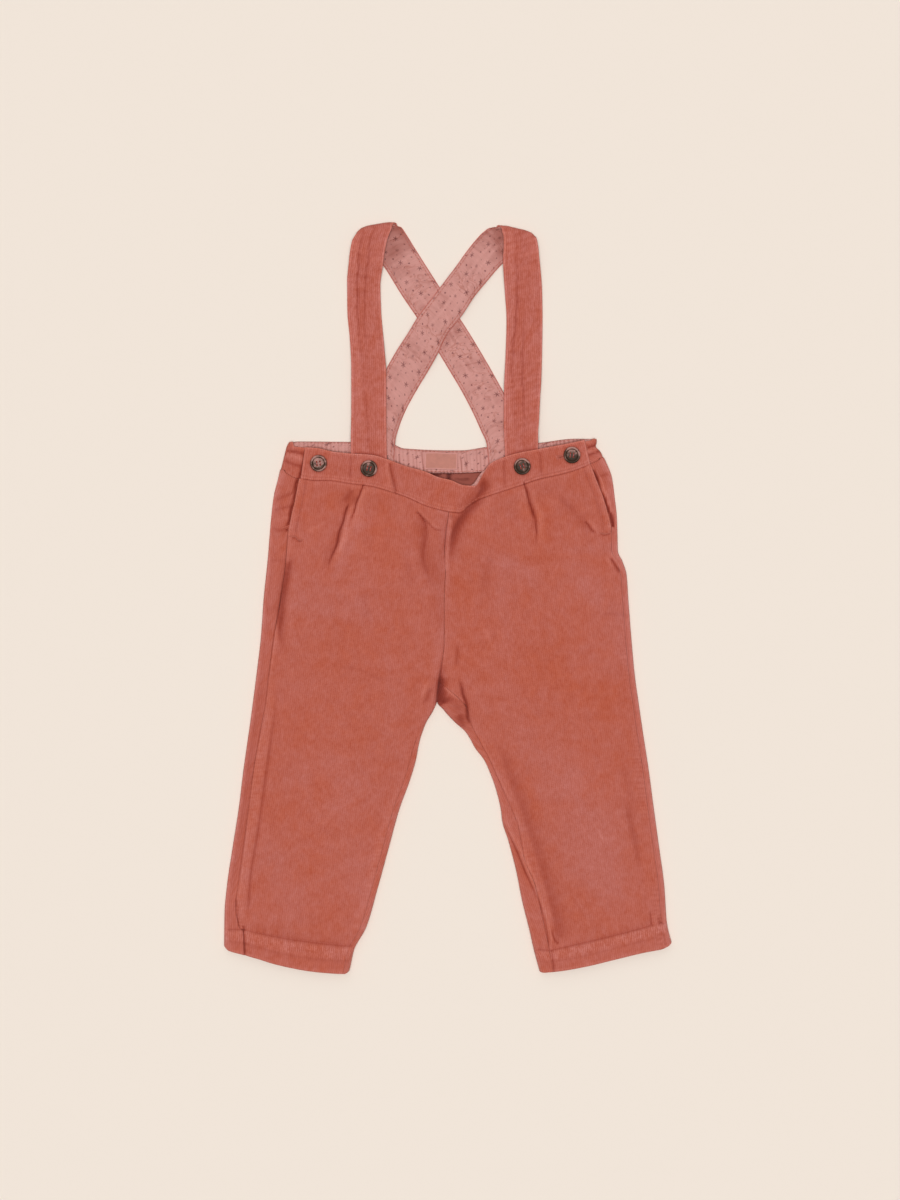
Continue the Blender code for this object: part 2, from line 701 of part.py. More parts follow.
def add_wall(name, grid, above, below, colour, roughness=0.9):
    """Closed wall of cloth on a grid: above and below are its reach along the normal."""
    normal = normals(grid)
    rows, count = grid.shape[:2]
    above = np.broadcast_to(np.asarray(above, float), (rows, count))[..., None]
    below = np.broadcast_to(np.asarray(below, float), (rows, count))[..., None]
    middle = np.array([MIDDLE[0], MIDDLE[1], 0.0])
    upper = (grid + normal * above - middle) * MM
    lower = (grid - normal * below - middle) * MM
    build = bmesh.new()
    top = [[build.verts.new(point) for point in row] for row in upper]
    base = [[build.verts.new(point) for point in row] for row in lower]
    for i in range(rows - 1):
        for j in range(count - 1):
            build.faces.new((top[i][j], top[i][j + 1], top[i + 1][j + 1], top[i + 1][j]))
            build.faces.new((base[i][j], base[i + 1][j], base[i + 1][j + 1], base[i][j + 1]))
    rim = [(i, 0) for i in range(rows)]
    rim += [(rows - 1, j) for j in range(1, count)]
    rim += [(i, count - 1) for i in range(rows - 2, -1, -1)]
    rim += [(0, j) for j in range(count - 2, 0, -1)]
    for k, (i, j) in enumerate(rim):
        m, n = rim[(k + 1) % len(rim)]
        build.faces.new((top[i][j], top[m][n], base[m][n], base[i][j]))
    bmesh.ops.recalc_face_normals(build, faces=build.faces)
    mesh = bpy.data.meshes.new(name)
    build.to_mesh(mesh)
    build.free()
    mesh.shade_smooth()
    mesh.set_sharp_from_angle(angle=math.radians(40))
    return add_object(name, mesh, colour, roughness)


def add_legs():
    """Four leg pieces: two fronts and two backs."""
    for side in ("left", "right"):
        end = OPENING_END[side]
        outer_ys = [LEG_SECTIONS[side][0][0] - step for step in WAIST_STEPS]
        outer_ys += [end + LAP_FULL, end + LAP_START, end - LAP_BELOW]
        outer_ys += LEG_YS
        outer_ys += [HEM_LINE[side] + step for step in HEM_STEPS]
        outer_ys += [LEG_SECTIONS[side][-1][0]]
        hems = hem_depth(side, outer_ys)[:, None]
        front = front_grid(side, outer_ys, FRONT_SHARES)
        flip = -OUTWARD[side]
        half = CORD / 2
        reach = (half + hems, half) if flip < 0 else (half, half + hems)
        add_wall("front_" + side, front, *reach, CORD_COLOUR)
        back = back_grid(side, np.array(outer_ys), FOLD_STEPS, BACK_STEPS)
        reach = (half, half + hems) if flip < 0 else (half + hems, half)
        add_wall("back_" + side, back, *reach, CORD_COLOUR)


def add_bands():
    """Front band and back band, each with its facing."""
    stations = np.linspace(0, len(FRONT_BAND) - 1, 2 * (len(FRONT_BAND) - 1) + 1)
    half = CORD / 2
    band = front_band_grid(stations, (0.0, 0.5, 1.0), 0.0, 0.0, False)
    add_wall("waistband_front", band, half, half, CORD_COLOUR)
    inset = FRONT_FACING_INSET
    facing = front_band_grid(stations, (0.0, 1.0), inset, inset, True)
    facing_far = BAND_TO_FACING + PRINT / 2
    facing_near = BAND_TO_FACING - PRINT / 2
    add_wall("waistband_front_facing", facing, -facing_near, facing_far, PRINT_COLOUR)
    counts = ((5, 4), (5, 4))
    cord = back_band_grid(BAND_FLOOR_Z, BAND_WRAP_Z, 0.0, 0.0, half, counts, 14,
                          (0.0, 0.5, 1.0))
    add_wall("waistband_back", cord, half, half, CORD_COLOUR)
    inside = CORD + 2 * SEAM
    print_half = PRINT / 2
    facing = back_band_grid(FACING_FLOOR_Z, FACING_WRAP_Z, inside, BACK_FACING_INSET,
                            print_half, counts, 80, (0.0, 1.0))
    floor = facing[:, :, 2] < FACING_FLOOR_Z + 1e-6
    facing[:, :, 2] += np.where(floor, gathers(facing[:, :, 0]), 0.0)
    add_wall("waistband_back_facing", facing, print_half, print_half, PRINT_COLOUR)


def add_straps():
    """Two crossed braces, each a cord outer with a printed lining."""
    shares = np.linspace(0, 1, 5)
    near = STRAP_GAP
    for side in ("left", "right"):
        grid = strap_grid(side, 1, STRAP_TURN_STEPS, shares)
        add_wall("strap_" + side, grid, near + CORD, -near, CORD_COLOUR)
        add_wall("strap_" + side + "_lining", grid, -near, near + PRINT, PRINT_COLOUR)


def add_label():
    """Bare label on the inside of the back band."""
    x0, x1, y0, y1 = LABEL
    xs = np.linspace(x0, x1, 6)
    ys = np.linspace(y0, y1, 3)
    grid = np.empty((len(ys), len(xs), 3))
    grid[:, :, 0] = xs[None, :]
    grid[:, :, 1] = ys[:, None]
    grid[:, :, 2] = FACING_FLOOR_Z + PRINT + SEAM
    add_wall("label", grid, PRINT / 2, PRINT / 2, LABEL_COLOUR)


def lathe(profile, segments):
    """Closed turned mesh from (radius, height) rows that start and end on the axis."""
    build = bmesh.new()
    rings = []
    for radius, height in profile:
        if radius == 0:
            rings.append([build.verts.new((0, 0, height))])
            continue
        angles = [2 * math.pi * k / segments for k in range(segments)]
        rings.append([
            build.verts.new((radius * math.cos(a), radius * math.sin(a), height))
            for a in angles
        ])
    for lower, upper in zip(rings, rings[1:]):
        for k in range(segments):
            n = (k + 1) % segments
            if len(lower) == 1:
                build.faces.new((lower[0], upper[n], upper[k]))
            elif len(upper) == 1:
                build.faces.new((lower[k], lower[n], upper[0]))
            else:
                build.faces.new((lower[k], lower[n], upper[n], upper[k]))
    bmesh.ops.recalc_face_normals(build, faces=build.faces)
    return build


def button_mesh():
    """Rimmed button with four thread holes, its underside at z = 0."""
    profile = [
        (0, 0), (5.2, 0.0), (BUTTON_RADIUS, 0.9), (6.1, 1.9), (5.3, 2.2), (4.1, 1.5), (0, 1.5),
    ]
    build = lathe([(r * MM, z * MM) for r, z in profile], BUTTON_SEGMENTS)
    disc_mesh = bpy.data.meshes.new("button_disc")
    build.to_mesh(disc_mesh)
    build.free()
    drill = bmesh.new()
    for k in range(4):
        angle = math.pi / 4 + k * math.pi / 2
        made = bmesh.ops.create_cone(
            drill, cap_ends=True, segments=HOLE_SEGMENTS, radius1=BUTTON_HOLE_RADIUS * MM,
            radius2=BUTTON_HOLE_RADIUS * MM, depth=6 * MM)
        out = BUTTON_HOLE_OUT * MM
        bmesh.ops.translate(drill, verts=made["verts"],
                            vec=(out * math.cos(angle), out * math.sin(angle), 0))
    drill_mesh = bpy.data.meshes.new("button_drill")
    drill.to_mesh(drill_mesh)
    drill.free()
    disc = bpy.data.objects.new("button_disc", disc_mesh)
    cutter = bpy.data.objects.new("button_drill", drill_mesh)
    for made in (disc, cutter):
        bpy.context.scene.collection.objects.link(made)
    cut = disc.modifiers.new("holes", "BOOLEAN")
    cut.object = cutter
    cut.operation = "DIFFERENCE"
    cut.solver = "EXACT"
    depsgraph = bpy.context.evaluated_depsgraph_get()
    mesh = bpy.data.meshes.new_from_object(disc.evaluated_get(depsgraph))
    bpy.data.objects.remove(disc)
    bpy.data.objects.remove(cutter)
    mesh.shade_smooth()
    mesh.set_sharp_from_angle(angle=math.radians(35))
    return mesh


def add_buttons():
    """Four buttons seated on the front band."""
    master = button_mesh()
    for name, (x, y, turn) in BUTTONS.items():
        around = x + BUTTON_RADIUS * np.linspace(-1, 1, 9)
        seat = float(np.max(waist_z(around))) + CORD / 2 + SEAM
        mesh = master.copy()
        mesh.name = name
        made = add_object(name, mesh, BUTTON_COLOUR, 0.35)
        made.location = ((x - MIDDLE[0]) * MM, (y - MIDDLE[1]) * MM, seat * MM)
        made.rotation_euler = (0, 0, math.radians(turn))


def main():
    for old in list(bpy.data.objects):
        bpy.data.objects.remove(old, do_unlink=True)
    add_legs()
    add_bands()
    add_straps()
    add_label()
    add_buttons()


main()
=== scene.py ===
import math

import bpy
import numpy as np
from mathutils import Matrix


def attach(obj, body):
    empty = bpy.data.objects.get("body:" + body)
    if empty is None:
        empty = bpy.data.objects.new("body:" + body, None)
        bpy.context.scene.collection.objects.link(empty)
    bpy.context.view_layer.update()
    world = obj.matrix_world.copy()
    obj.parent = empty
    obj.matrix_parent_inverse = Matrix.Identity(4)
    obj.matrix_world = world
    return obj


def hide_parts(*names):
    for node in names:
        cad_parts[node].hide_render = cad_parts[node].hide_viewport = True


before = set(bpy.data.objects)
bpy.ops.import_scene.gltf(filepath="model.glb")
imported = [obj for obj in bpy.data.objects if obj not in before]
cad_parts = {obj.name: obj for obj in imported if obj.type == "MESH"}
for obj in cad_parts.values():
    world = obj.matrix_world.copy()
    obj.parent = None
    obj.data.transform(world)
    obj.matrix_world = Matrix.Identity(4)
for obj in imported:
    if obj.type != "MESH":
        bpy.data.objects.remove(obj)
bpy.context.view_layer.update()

# The garment lies on its back, front up, waist towards +Y. All tables are in millimetres.
MM = 0.001
# Where the middle of the frame lies in the tables: x, y
MIDDLE = (0.34, 0.47)

# Thickness of the cord and of the printed cotton, and what a turned-up hem adds to the cord's
CORD = 1.2
PRINT = 1.0
HEM_TURN = 1.2
# Gaps in the seam down the middle and in the closed waist seam
SEAM = 0.16
SEAM_CLOSED = 0.02
# Cloth lies this far off the floor, on its stitches
LYING = 0.12
# Share of its thickness that a piece keeps at its rounded edge
LEAST_BULGE = 0.22

# Heights of the middle of the upper layer, along a leg's edges and at its hem, and the y over
# which the hem's height is reached
EDGE_Z = 4.3
HEM_Z = 5.8
HEM_RISE = (-250.0, -225.0)
# How far a leg puffs up inside its edges, over what distance, and what stays flat beside a fold
PUFF = 1.3
PUFF_REACH = 14.0
FOLD_RIM = 3.0

# Waist: gap between its layers, heights of the middle of the back band and its facing on the
# floor and where they have come round to the front, and from the front band down to its facing
LAYER_GAP = 0.3
BAND_FLOOR_Z = CORD / 2
BAND_WRAP_Z = 5.1
FACING_FLOOR_Z = CORD + LAYER_GAP + PRINT / 2
FACING_WRAP_Z = BAND_WRAP_Z - CORD / 2 - LAYER_GAP - PRINT / 2
BAND_TO_FACING = CORD / 2 + LAYER_GAP + PRINT / 2
# How far below the front band the fronts start to rise to it, and the y of the waist
WAIST_DROP = 24.0
WAIST_Y = 90.0

# Side openings below the band: the front lies on the back's underlap. Lower end of each, width
# of the underlap, how far below that end its step starts, and how far above the end first the
# step and then the width are full
OPENING_END = {"left": 47.0, "right": 50.0}
UNDERLAP = 18.0
LAP_BELOW = 3.0
LAP_START = 4.5
LAP_FULL = 10.0
# How far the underlap lies below the front, and how far at the waist
LAP_STEP = 1.75
LAP_STEP_WAIST = 2.9
# Gap between the underlap and the back band, and the y over which its fold moves up to it
WRAP_SEAM = 0.14
WRAP_LIFT = (50.0, 88.0)
# Gap in the side seams. How far in from the fold the right side seam lies, below the y of
# EDGE_SEAM_TOP, and the left inside leg seam, which starts closer at the fork
SIDE_SEAM = 0.12
SEAM_AT_FOLD = 4.6
EDGE_SEAM_TOP = 17.0
FORK_SEAM = 0.6
FORK_SEAM_RUN = (-126.0, -86.0)

# A piece's turn round a fold: its least share, and how far its end reaches on while it is free
CURL_MIN = 0.02
FREE_REACH = 0.3
# How much further off a sewn edge counts than a free one, so that it stays square
SEWN_SQUARE = 0.32
# Dip of the cloth along its seams: depth, reach
SEAM_DIP = (0.22, 0.9)

# Fork of the legs: its point, the y over which seams turn there, and the y over which the backs,
# which have turned up at the fork, lie flat again
CROTCH = (-8.0, -80.0)
CROTCH_TURN = (-82.0, -77.0)
FORK_RISE = {"left": (-77.0, -52.0), "right": (-64.0, -40.0)}

# Braces: gap from the middle surface to each layer, and radius of the turn at the shoulder
STRAP_GAP = 0.1
SHOULDER_RADIUS = 2.1

# Centre front and centre back seam: y, x
CENTRE_SEAM = [
    (125, 0.4), (65, 0.8), (51, -1.1), (34, -2.3), (20, -1.5), (2, -2.4),
    (-32, -2.5), (-56, -5.2), (-75, -7.8), (-80, -8.0),
]
BACK_SEAM = [(125, 0.4), (-64, -6.2), (-80, -8.3)]

# Leg edges from waist to hem: y, x
LEG_EDGES = {
    "left": {
        "outer_fold": [
            (97, -127.0), (90, -128.6), (76, -132.1), (60, -134.0), (30, -136.4), (0, -139.5),
            (-30, -141.7), (-60, -145.2), (-80, -147.8), (-100, -150.5), (-130, -154.8),
            (-160, -158.5), (-190, -163.2), (-220, -167.6), (-238, -169.2), (-266, -169.6),
        ],
        "outer_seam": [
            (90, -112.4), (76, -115.1), (60, -118.8), (47, -121.0), (30, -122.4), (0, -126.5),
            (-30, -131.6), (-60, -135.6), (-80, -137.9), (-100, -141.5), (-130, -146.9),
            (-160, -150.9), (-190, -154.7), (-220, -158.8), (-234, -160.6), (-246, -158.9),
            (-250, -157.8), (-253, -154.9), (-266, -153.8),
        ],
        "inner_fold": [
            (-80, -8.2), (-86, -11.0), (-96, -16.7), (-110, -21.4), (-123, -23.9),
            (-140, -29.0), (-160, -36.3), (-190, -44.6), (-220, -52.8), (-250, -61.6),
            (-268, -71.1), (-285, -74.5),
        ],
    },
    "right": {
        "outer_fold": [
            (106, 118.2), (99, 121.5), (90, 124.9), (75, 127.1), (60, 128.7), (35, 129.4),
            (27, 133.0), (17, 136.0), (0, 137.2), (-30, 139.5), (-60, 142.3), (-80, 145.1),
            (-100, 148.0), (-130, 152.6), (-160, 156.6), (-190, 160.7), (-220, 164.7),
            (-246, 166.4), (-263, 170.4),
        ],
        "outer_seam": [
            (100, 108.1), (90, 112.1), (75, 118.2), (60, 122.6), (50, 124.5), (36, 124.3),
            (27, 128.6), (17, 131.4),
        ],
        "inner_fold": [
            (-64, -6.4), (-70, -7.3), (-76, -8.0), (-80, -7.6), (-84, -3.9), (-88, -0.6),
            (-95, 6.2), (-101, 13.0), (-107, 17.1), (-114, 20.9), (-123, 27.7), (-131, 31.5),
            (-146, 36.9), (-161, 40.5), (-170, 41.6), (-184, 46.0), (-207, 52.0), (-230, 56.6),
            (-253, 62.3), (-268, 65.7), (-285, 70.3),
        ],
        "inner_seam": [
            (-64, -6.3), (-73, 4.6), (-78, 10.3), (-83, 14.5), (-96, 18.2), (-109, 24.4),
            (-123, 32.0), (-134, 36.8), (-154, 45.7), (-174, 53.8), (-198, 58.4),
            (-218, 66.5), (-244, 72.4), (-266, 77.1), (-285, 80.2),
        ],
    },
}

# Sections of each leg: y at its outer edge, y at its inner edge
LEG_SECTIONS = {
    "left": [(90, 65), (2, -12), (-78, -80), (-165, -160), (-252, -265), (-265.5, -285)],
    "right": [(99.7, 65), (12, -16), (-78, -80), (-160, -162), (-247, -268), (-262.5, -284.5)],
}
# Y of the hem's stitches, how far the hem sags between its corners, the y at which that starts,
# and how much higher it lies behind
HEM_LINE = {"left": -252.0, "right": -247.0}
HEM_SAG = {"left": 5.0, "right": 2.4}
HEM_SAG_START = {"left": -243.0, "right": -238.0}
HEM_BEHIND = 0.9
# Lower outline of each hem as it lies, from the outer to the inner fold: x, y
HEM_OUTLINE = {
    "left": [(-169.6, -265.5), (-165.7, -267.9), (-154.7, -270.9), (-143.3, -274.0),
             (-131.1, -277.8), (-118.2, -280.8), (-106.0, -283.0), (-91.6, -284.6),
             (-78.9, -285.4), (-74.0, -285.4)],
    "right": [(70.3, -284.7), (82.5, -283.6), (103.4, -280.0), (125.8, -274.7),
              (147.8, -269.4), (163.6, -266.2), (168.8, -263.6), (170.6, -262.2)],
}
# How far each hem's outer and inner corner draw up, and how far in
HEM_CORNER = {"left": (0.9, 1.8), "right": (0.3, 0.3)}
HEM_CORNER_REACH = 1.7
# How much higher than the fronts the backs reach at the waist, and the y over which they rise
BACK_RISE = 29.0
BACK_RISE_FADE = (-30.0, 65.0)

# Front band: x and y on its top edge, x and y on its lower seam
FRONT_BAND = [
    (-107.8, 113.9, -111.1, 90.1),
    (-98.4, 113.2, -99.9, 88.5),
    (-87.4, 110.6, -89.3, 88.5),
    (-74.1, 109.1, -74.1, 86.3),
    (-57.4, 108.0, -57.4, 84.0),
    (-45.2, 104.5, -43.7, 80.2),
    (-32.5, 99.9, -30.5, 75.6),
    (-16.7, 95.4, -17.6, 69.9),
    (-6.5, 91.1, -8.0, 66.9),
    (2.7, 88.9, 0.4, 65.0),
    (12.5, 85.1, 8.7, 64.2),
    (20.6, 84.7, 15.1, 68.8),
    (27.0, 93.9, 23.2, 73.7),
    (31.5, 100.7, 31.5, 76.8),
    (42.9, 106.4, 43.7, 80.9),
    (55.1, 109.8, 57.7, 85.5),
    (67.3, 112.1, 68.8, 89.3),
    (82.8, 115.1, 84.7, 93.1),
    (94.6, 117.4, 96.1, 96.1),
    (103.7, 119.4, 108.1, 101.0),
]
# Height of the front band across the waist: x, z
FRONT_BAND_Z = [
    (-112, 7.9), (-90, 7.9), (-80, 9.4), (-74, 10.3), (-45, 10.3), (-37, 9.2), (-22, 7.5),
    (24, 7.5), (36, 9.0), (43, 10.3), (71, 10.3), (78, 9.2), (87, 7.9), (110, 7.9),
]
# How far the facings stay inside their bands
FRONT_FACING_INSET = 0.8
BACK_FACING_INSET = 0.5
# Where the band's edge has rolled forward, its facing shows: x, extra height, half-width
FACING_PEEP = (23.4, 5.2, 4.5)

# Back band on the floor: x, y
BACK_BAND_TOP = [
    (-121.5, 117.0), (-118.6, 118.1), (-112, 118.5), (-74, 118.2), (-46, 119.2), (-38, 115.0),
    (-33, 113.2), (2, 111.7), (12, 111.8), (30, 114.4), (69, 117.4), (97, 120.6), (113, 120.4),
]
BACK_BAND_LOW = [
    (-126.5, 96.9), (-60, 94.5), (2, 94.0), (26, 95.0), (80, 99.0), (118.2, 106.0),
]
# Ends of the back band on the upper side, from the fold inward under the front band: x, y
BACK_BAND_WRAPS = {
    "left": {
        "top": [(-121.5, 116.4), (-117.5, 114.9), (-108, 113.6), (-92, 111.5)],
        "low": [(-126.5, 96.9), (-113, 90.1), (-92, 89.2)],
    },
    "right": {
        "top": [(113.0, 119.8), (104, 118.3), (86, 114.0)],
        "low": [(118.2, 106.0), (108, 101.2), (86, 95.0)],
    },
}
# Draw-in of its sides: depth, share of its height, reach
BAND_NOTCH = {"left": (1.6, 1.04, 0.1), "right": (2.4, 0.6, 0.2)}
# Gathers of the facing: pitch, height, how softly they end, and the x where it is held flat
GATHER_PITCH = 7.5
GATHER_HEIGHT = 0.9
GATHER_FADE = 5.0
GATHER_FLATS = [(-130, -88), (-72, -36), (-22, 12), (26, 64), (82, 130)]

# Braces: x, y of one edge, x, y of the other edge, height of the middle surface
STRAP_RUNGS = {
    "left": {
        "front": [
            (-71.8, 86.7, -44.5, 83.6, 6.75),
            (-73.3, 110.6, -45.8, 106.8, 6.75),
            (-73.3, 122.0, -46.0, 122.0, 6.75),
            (-73.0, 137.2, -46.3, 137.2, 5.3),
            (-73.0, 155.4, -46.3, 153.9, 4.4),
            (-73.0, 173.7, -46.4, 169.9, 4.9),
            (-74.1, 195.7, -48.1, 191.9, 2.6),
            (-76.1, 218.5, -50.3, 217.0, 1.35),
            (-76.2, 239.8, -50.9, 236.7, 2.2),
            (-75.0, 252.7, -48.9, 251.9, 4.4),
            (-74.0, 262.0, -47.4, 262.6, 5.2),
            (-72.3, 270.5, -45.4, 271.8, 5.5),
        ],
        "turn": [(-69.3, 275.6, -42.0, 280.3), (-66.0, 277.0, -38.0, 282.2)],
        "outer_end": 0.0,
        "back": [
            (-65.0, 273.5, -35.1, 281.2, 1.35),
            (-61.0, 265.6, -31.5, 276.2, 1.35),
            (-49.5, 252.9, -24.7, 265.2, 1.35),
            (-34.4, 229.1, -11.0, 243.6, 1.35),
            (-20.1, 207.9, 3.4, 221.2, 1.35),
            (-5.7, 184.3, 17.9, 198.7, 1.35),
            (12.0, 154.5, 35.3, 169.1, 1.35),
            (19.9, 139.1, 45.0, 150.9, 1.35),
            (25.2, 127.3, 51.5, 134.9, 2.0),
            (29.6, 116.7, 55.5, 121.2, 4.15),
            (31.5, 96.9, 57.8, 99.9, 4.15),
        ],
    },
    "right": {
        "front": [
            (44.1, 83.8, 69.9, 91.6, 6.75),
            (43.4, 106.8, 68.8, 112.9, 6.75),
            (42.9, 119.7, 68.8, 124.3, 6.75),
            (42.5, 131.1, 69.5, 134.9, 5.6),
            (42.7, 148.6, 70.3, 151.6, 4.4),
            (42.9, 161.5, 71.1, 163.8, 4.2),
            (44.0, 182.8, 71.8, 184.3, 2.2),
            (44.8, 210.1, 72.2, 210.9, 1.35),
            (43.4, 232.9, 71.8, 233.7, 2.2),
            (42.3, 248.9, 70.5, 249.7, 4.4),
            (42.0, 257.0, 69.6, 258.0, 5.1),
            (42.5, 266.0, 68.9, 265.5, 5.45),
            (42.4, 273.0, 67.8, 271.4, 5.5),
        ],
        "turn": [(41.2, 277.9, 67.2, 272.8), (36.4, 280.2, 62.5, 273.5)],
        "outer_end": 1.0,
        "back": [
            (32.5, 280.9, 60.5, 270.5, 1.35),
            (27.0, 277.4, 56.0, 265.5, 1.35),
            (21.6, 271.8, 50.0, 260.0, 1.35),
            (14.8, 263.3, 41.2, 252.9, 1.6),
            (5.7, 250.4, 28.5, 238.3, 2.8),
            (-1.1, 241.3, 20.5, 228.4, 4.0),
            (-10.3, 229.1, 11.8, 215.1, 4.15),
            (-22.6, 212.8, -0.8, 198.7, 4.15),
            (-30.2, 200.3, -6.8, 186.0, 4.15),
            (-39.1, 186.6, -14.4, 172.4, 3.2),
            (-48.3, 169.9, -23.0, 158.2, 1.6),
            (-55.1, 152.4, -31.4, 142.8, 1.35),
            (-60.4, 135.7, -36.4, 130.6, 1.8),
            (-64.2, 121.2, -39.5, 118.9, 4.15),
            (-65.7, 98.4, -40.7, 98.4, 4.15),
        ],
    },
}
# How far a brace bows forward at the shoulder, where that starts and ends as shares of its length,
# the share of its width over which its turn tapers, and how far its outer edge pulls in
SHOULDER_BOW = {"left": 1.2, "right": 0.9}
BOW_START = 0.9
BOW_END = 0.12
TURN_TAPER = 0.2
TURN_PULL = 1.3

# Label: x of its left and right edge, y of its lower and upper edge
LABEL = (-17.4, 7.4, 97.2, 110.0)
# Distances from its edges at which its rounding is followed, half its thickness, and how high
# its middle lies on the facing
LABEL_ROUND = [0.1, 0.3, 0.6]
LABEL_HALF = 0.28
LABEL_LIFT = 0.42

# Buttons: x, y, turn in degrees
BUTTONS = {
    "button_1": (-97.6, 101.5, 8),
    "button_2": (-59.4, 97.5, -12),
    "button_3": (56.5, 99.1, 20),
    "button_4": (94.2, 107.8, -6),
}
# Radius of a button and of its holes, and how far out they lie
BUTTON_RADIUS = 6.35
BUTTON_HOLE_RADIUS = 0.75
BUTTON_HOLE_OUT = 1.8
BUTTON_SEGMENTS = 72
# Outline of a button from its middle below to its middle above: radius, height
BUTTON_PROFILE = [
    (0.0, 0.1), (3.6, 0.05), (5.0, 0.25), (5.9, 0.6), (6.3, 1.05), (6.33, 1.35), (6.15, 1.75),
    (5.8, 2.05), (5.35, 2.18), (4.95, 2.08), (4.6, 1.8), (4.3, 1.5), (3.6, 1.32),
    (2.9, 1.28), (0.0, 1.28),
]
# How high a button stands on the band, and its threads in the button
BUTTON_LIFT = 0.3
BUTTON_THREAD_Z = 1.3

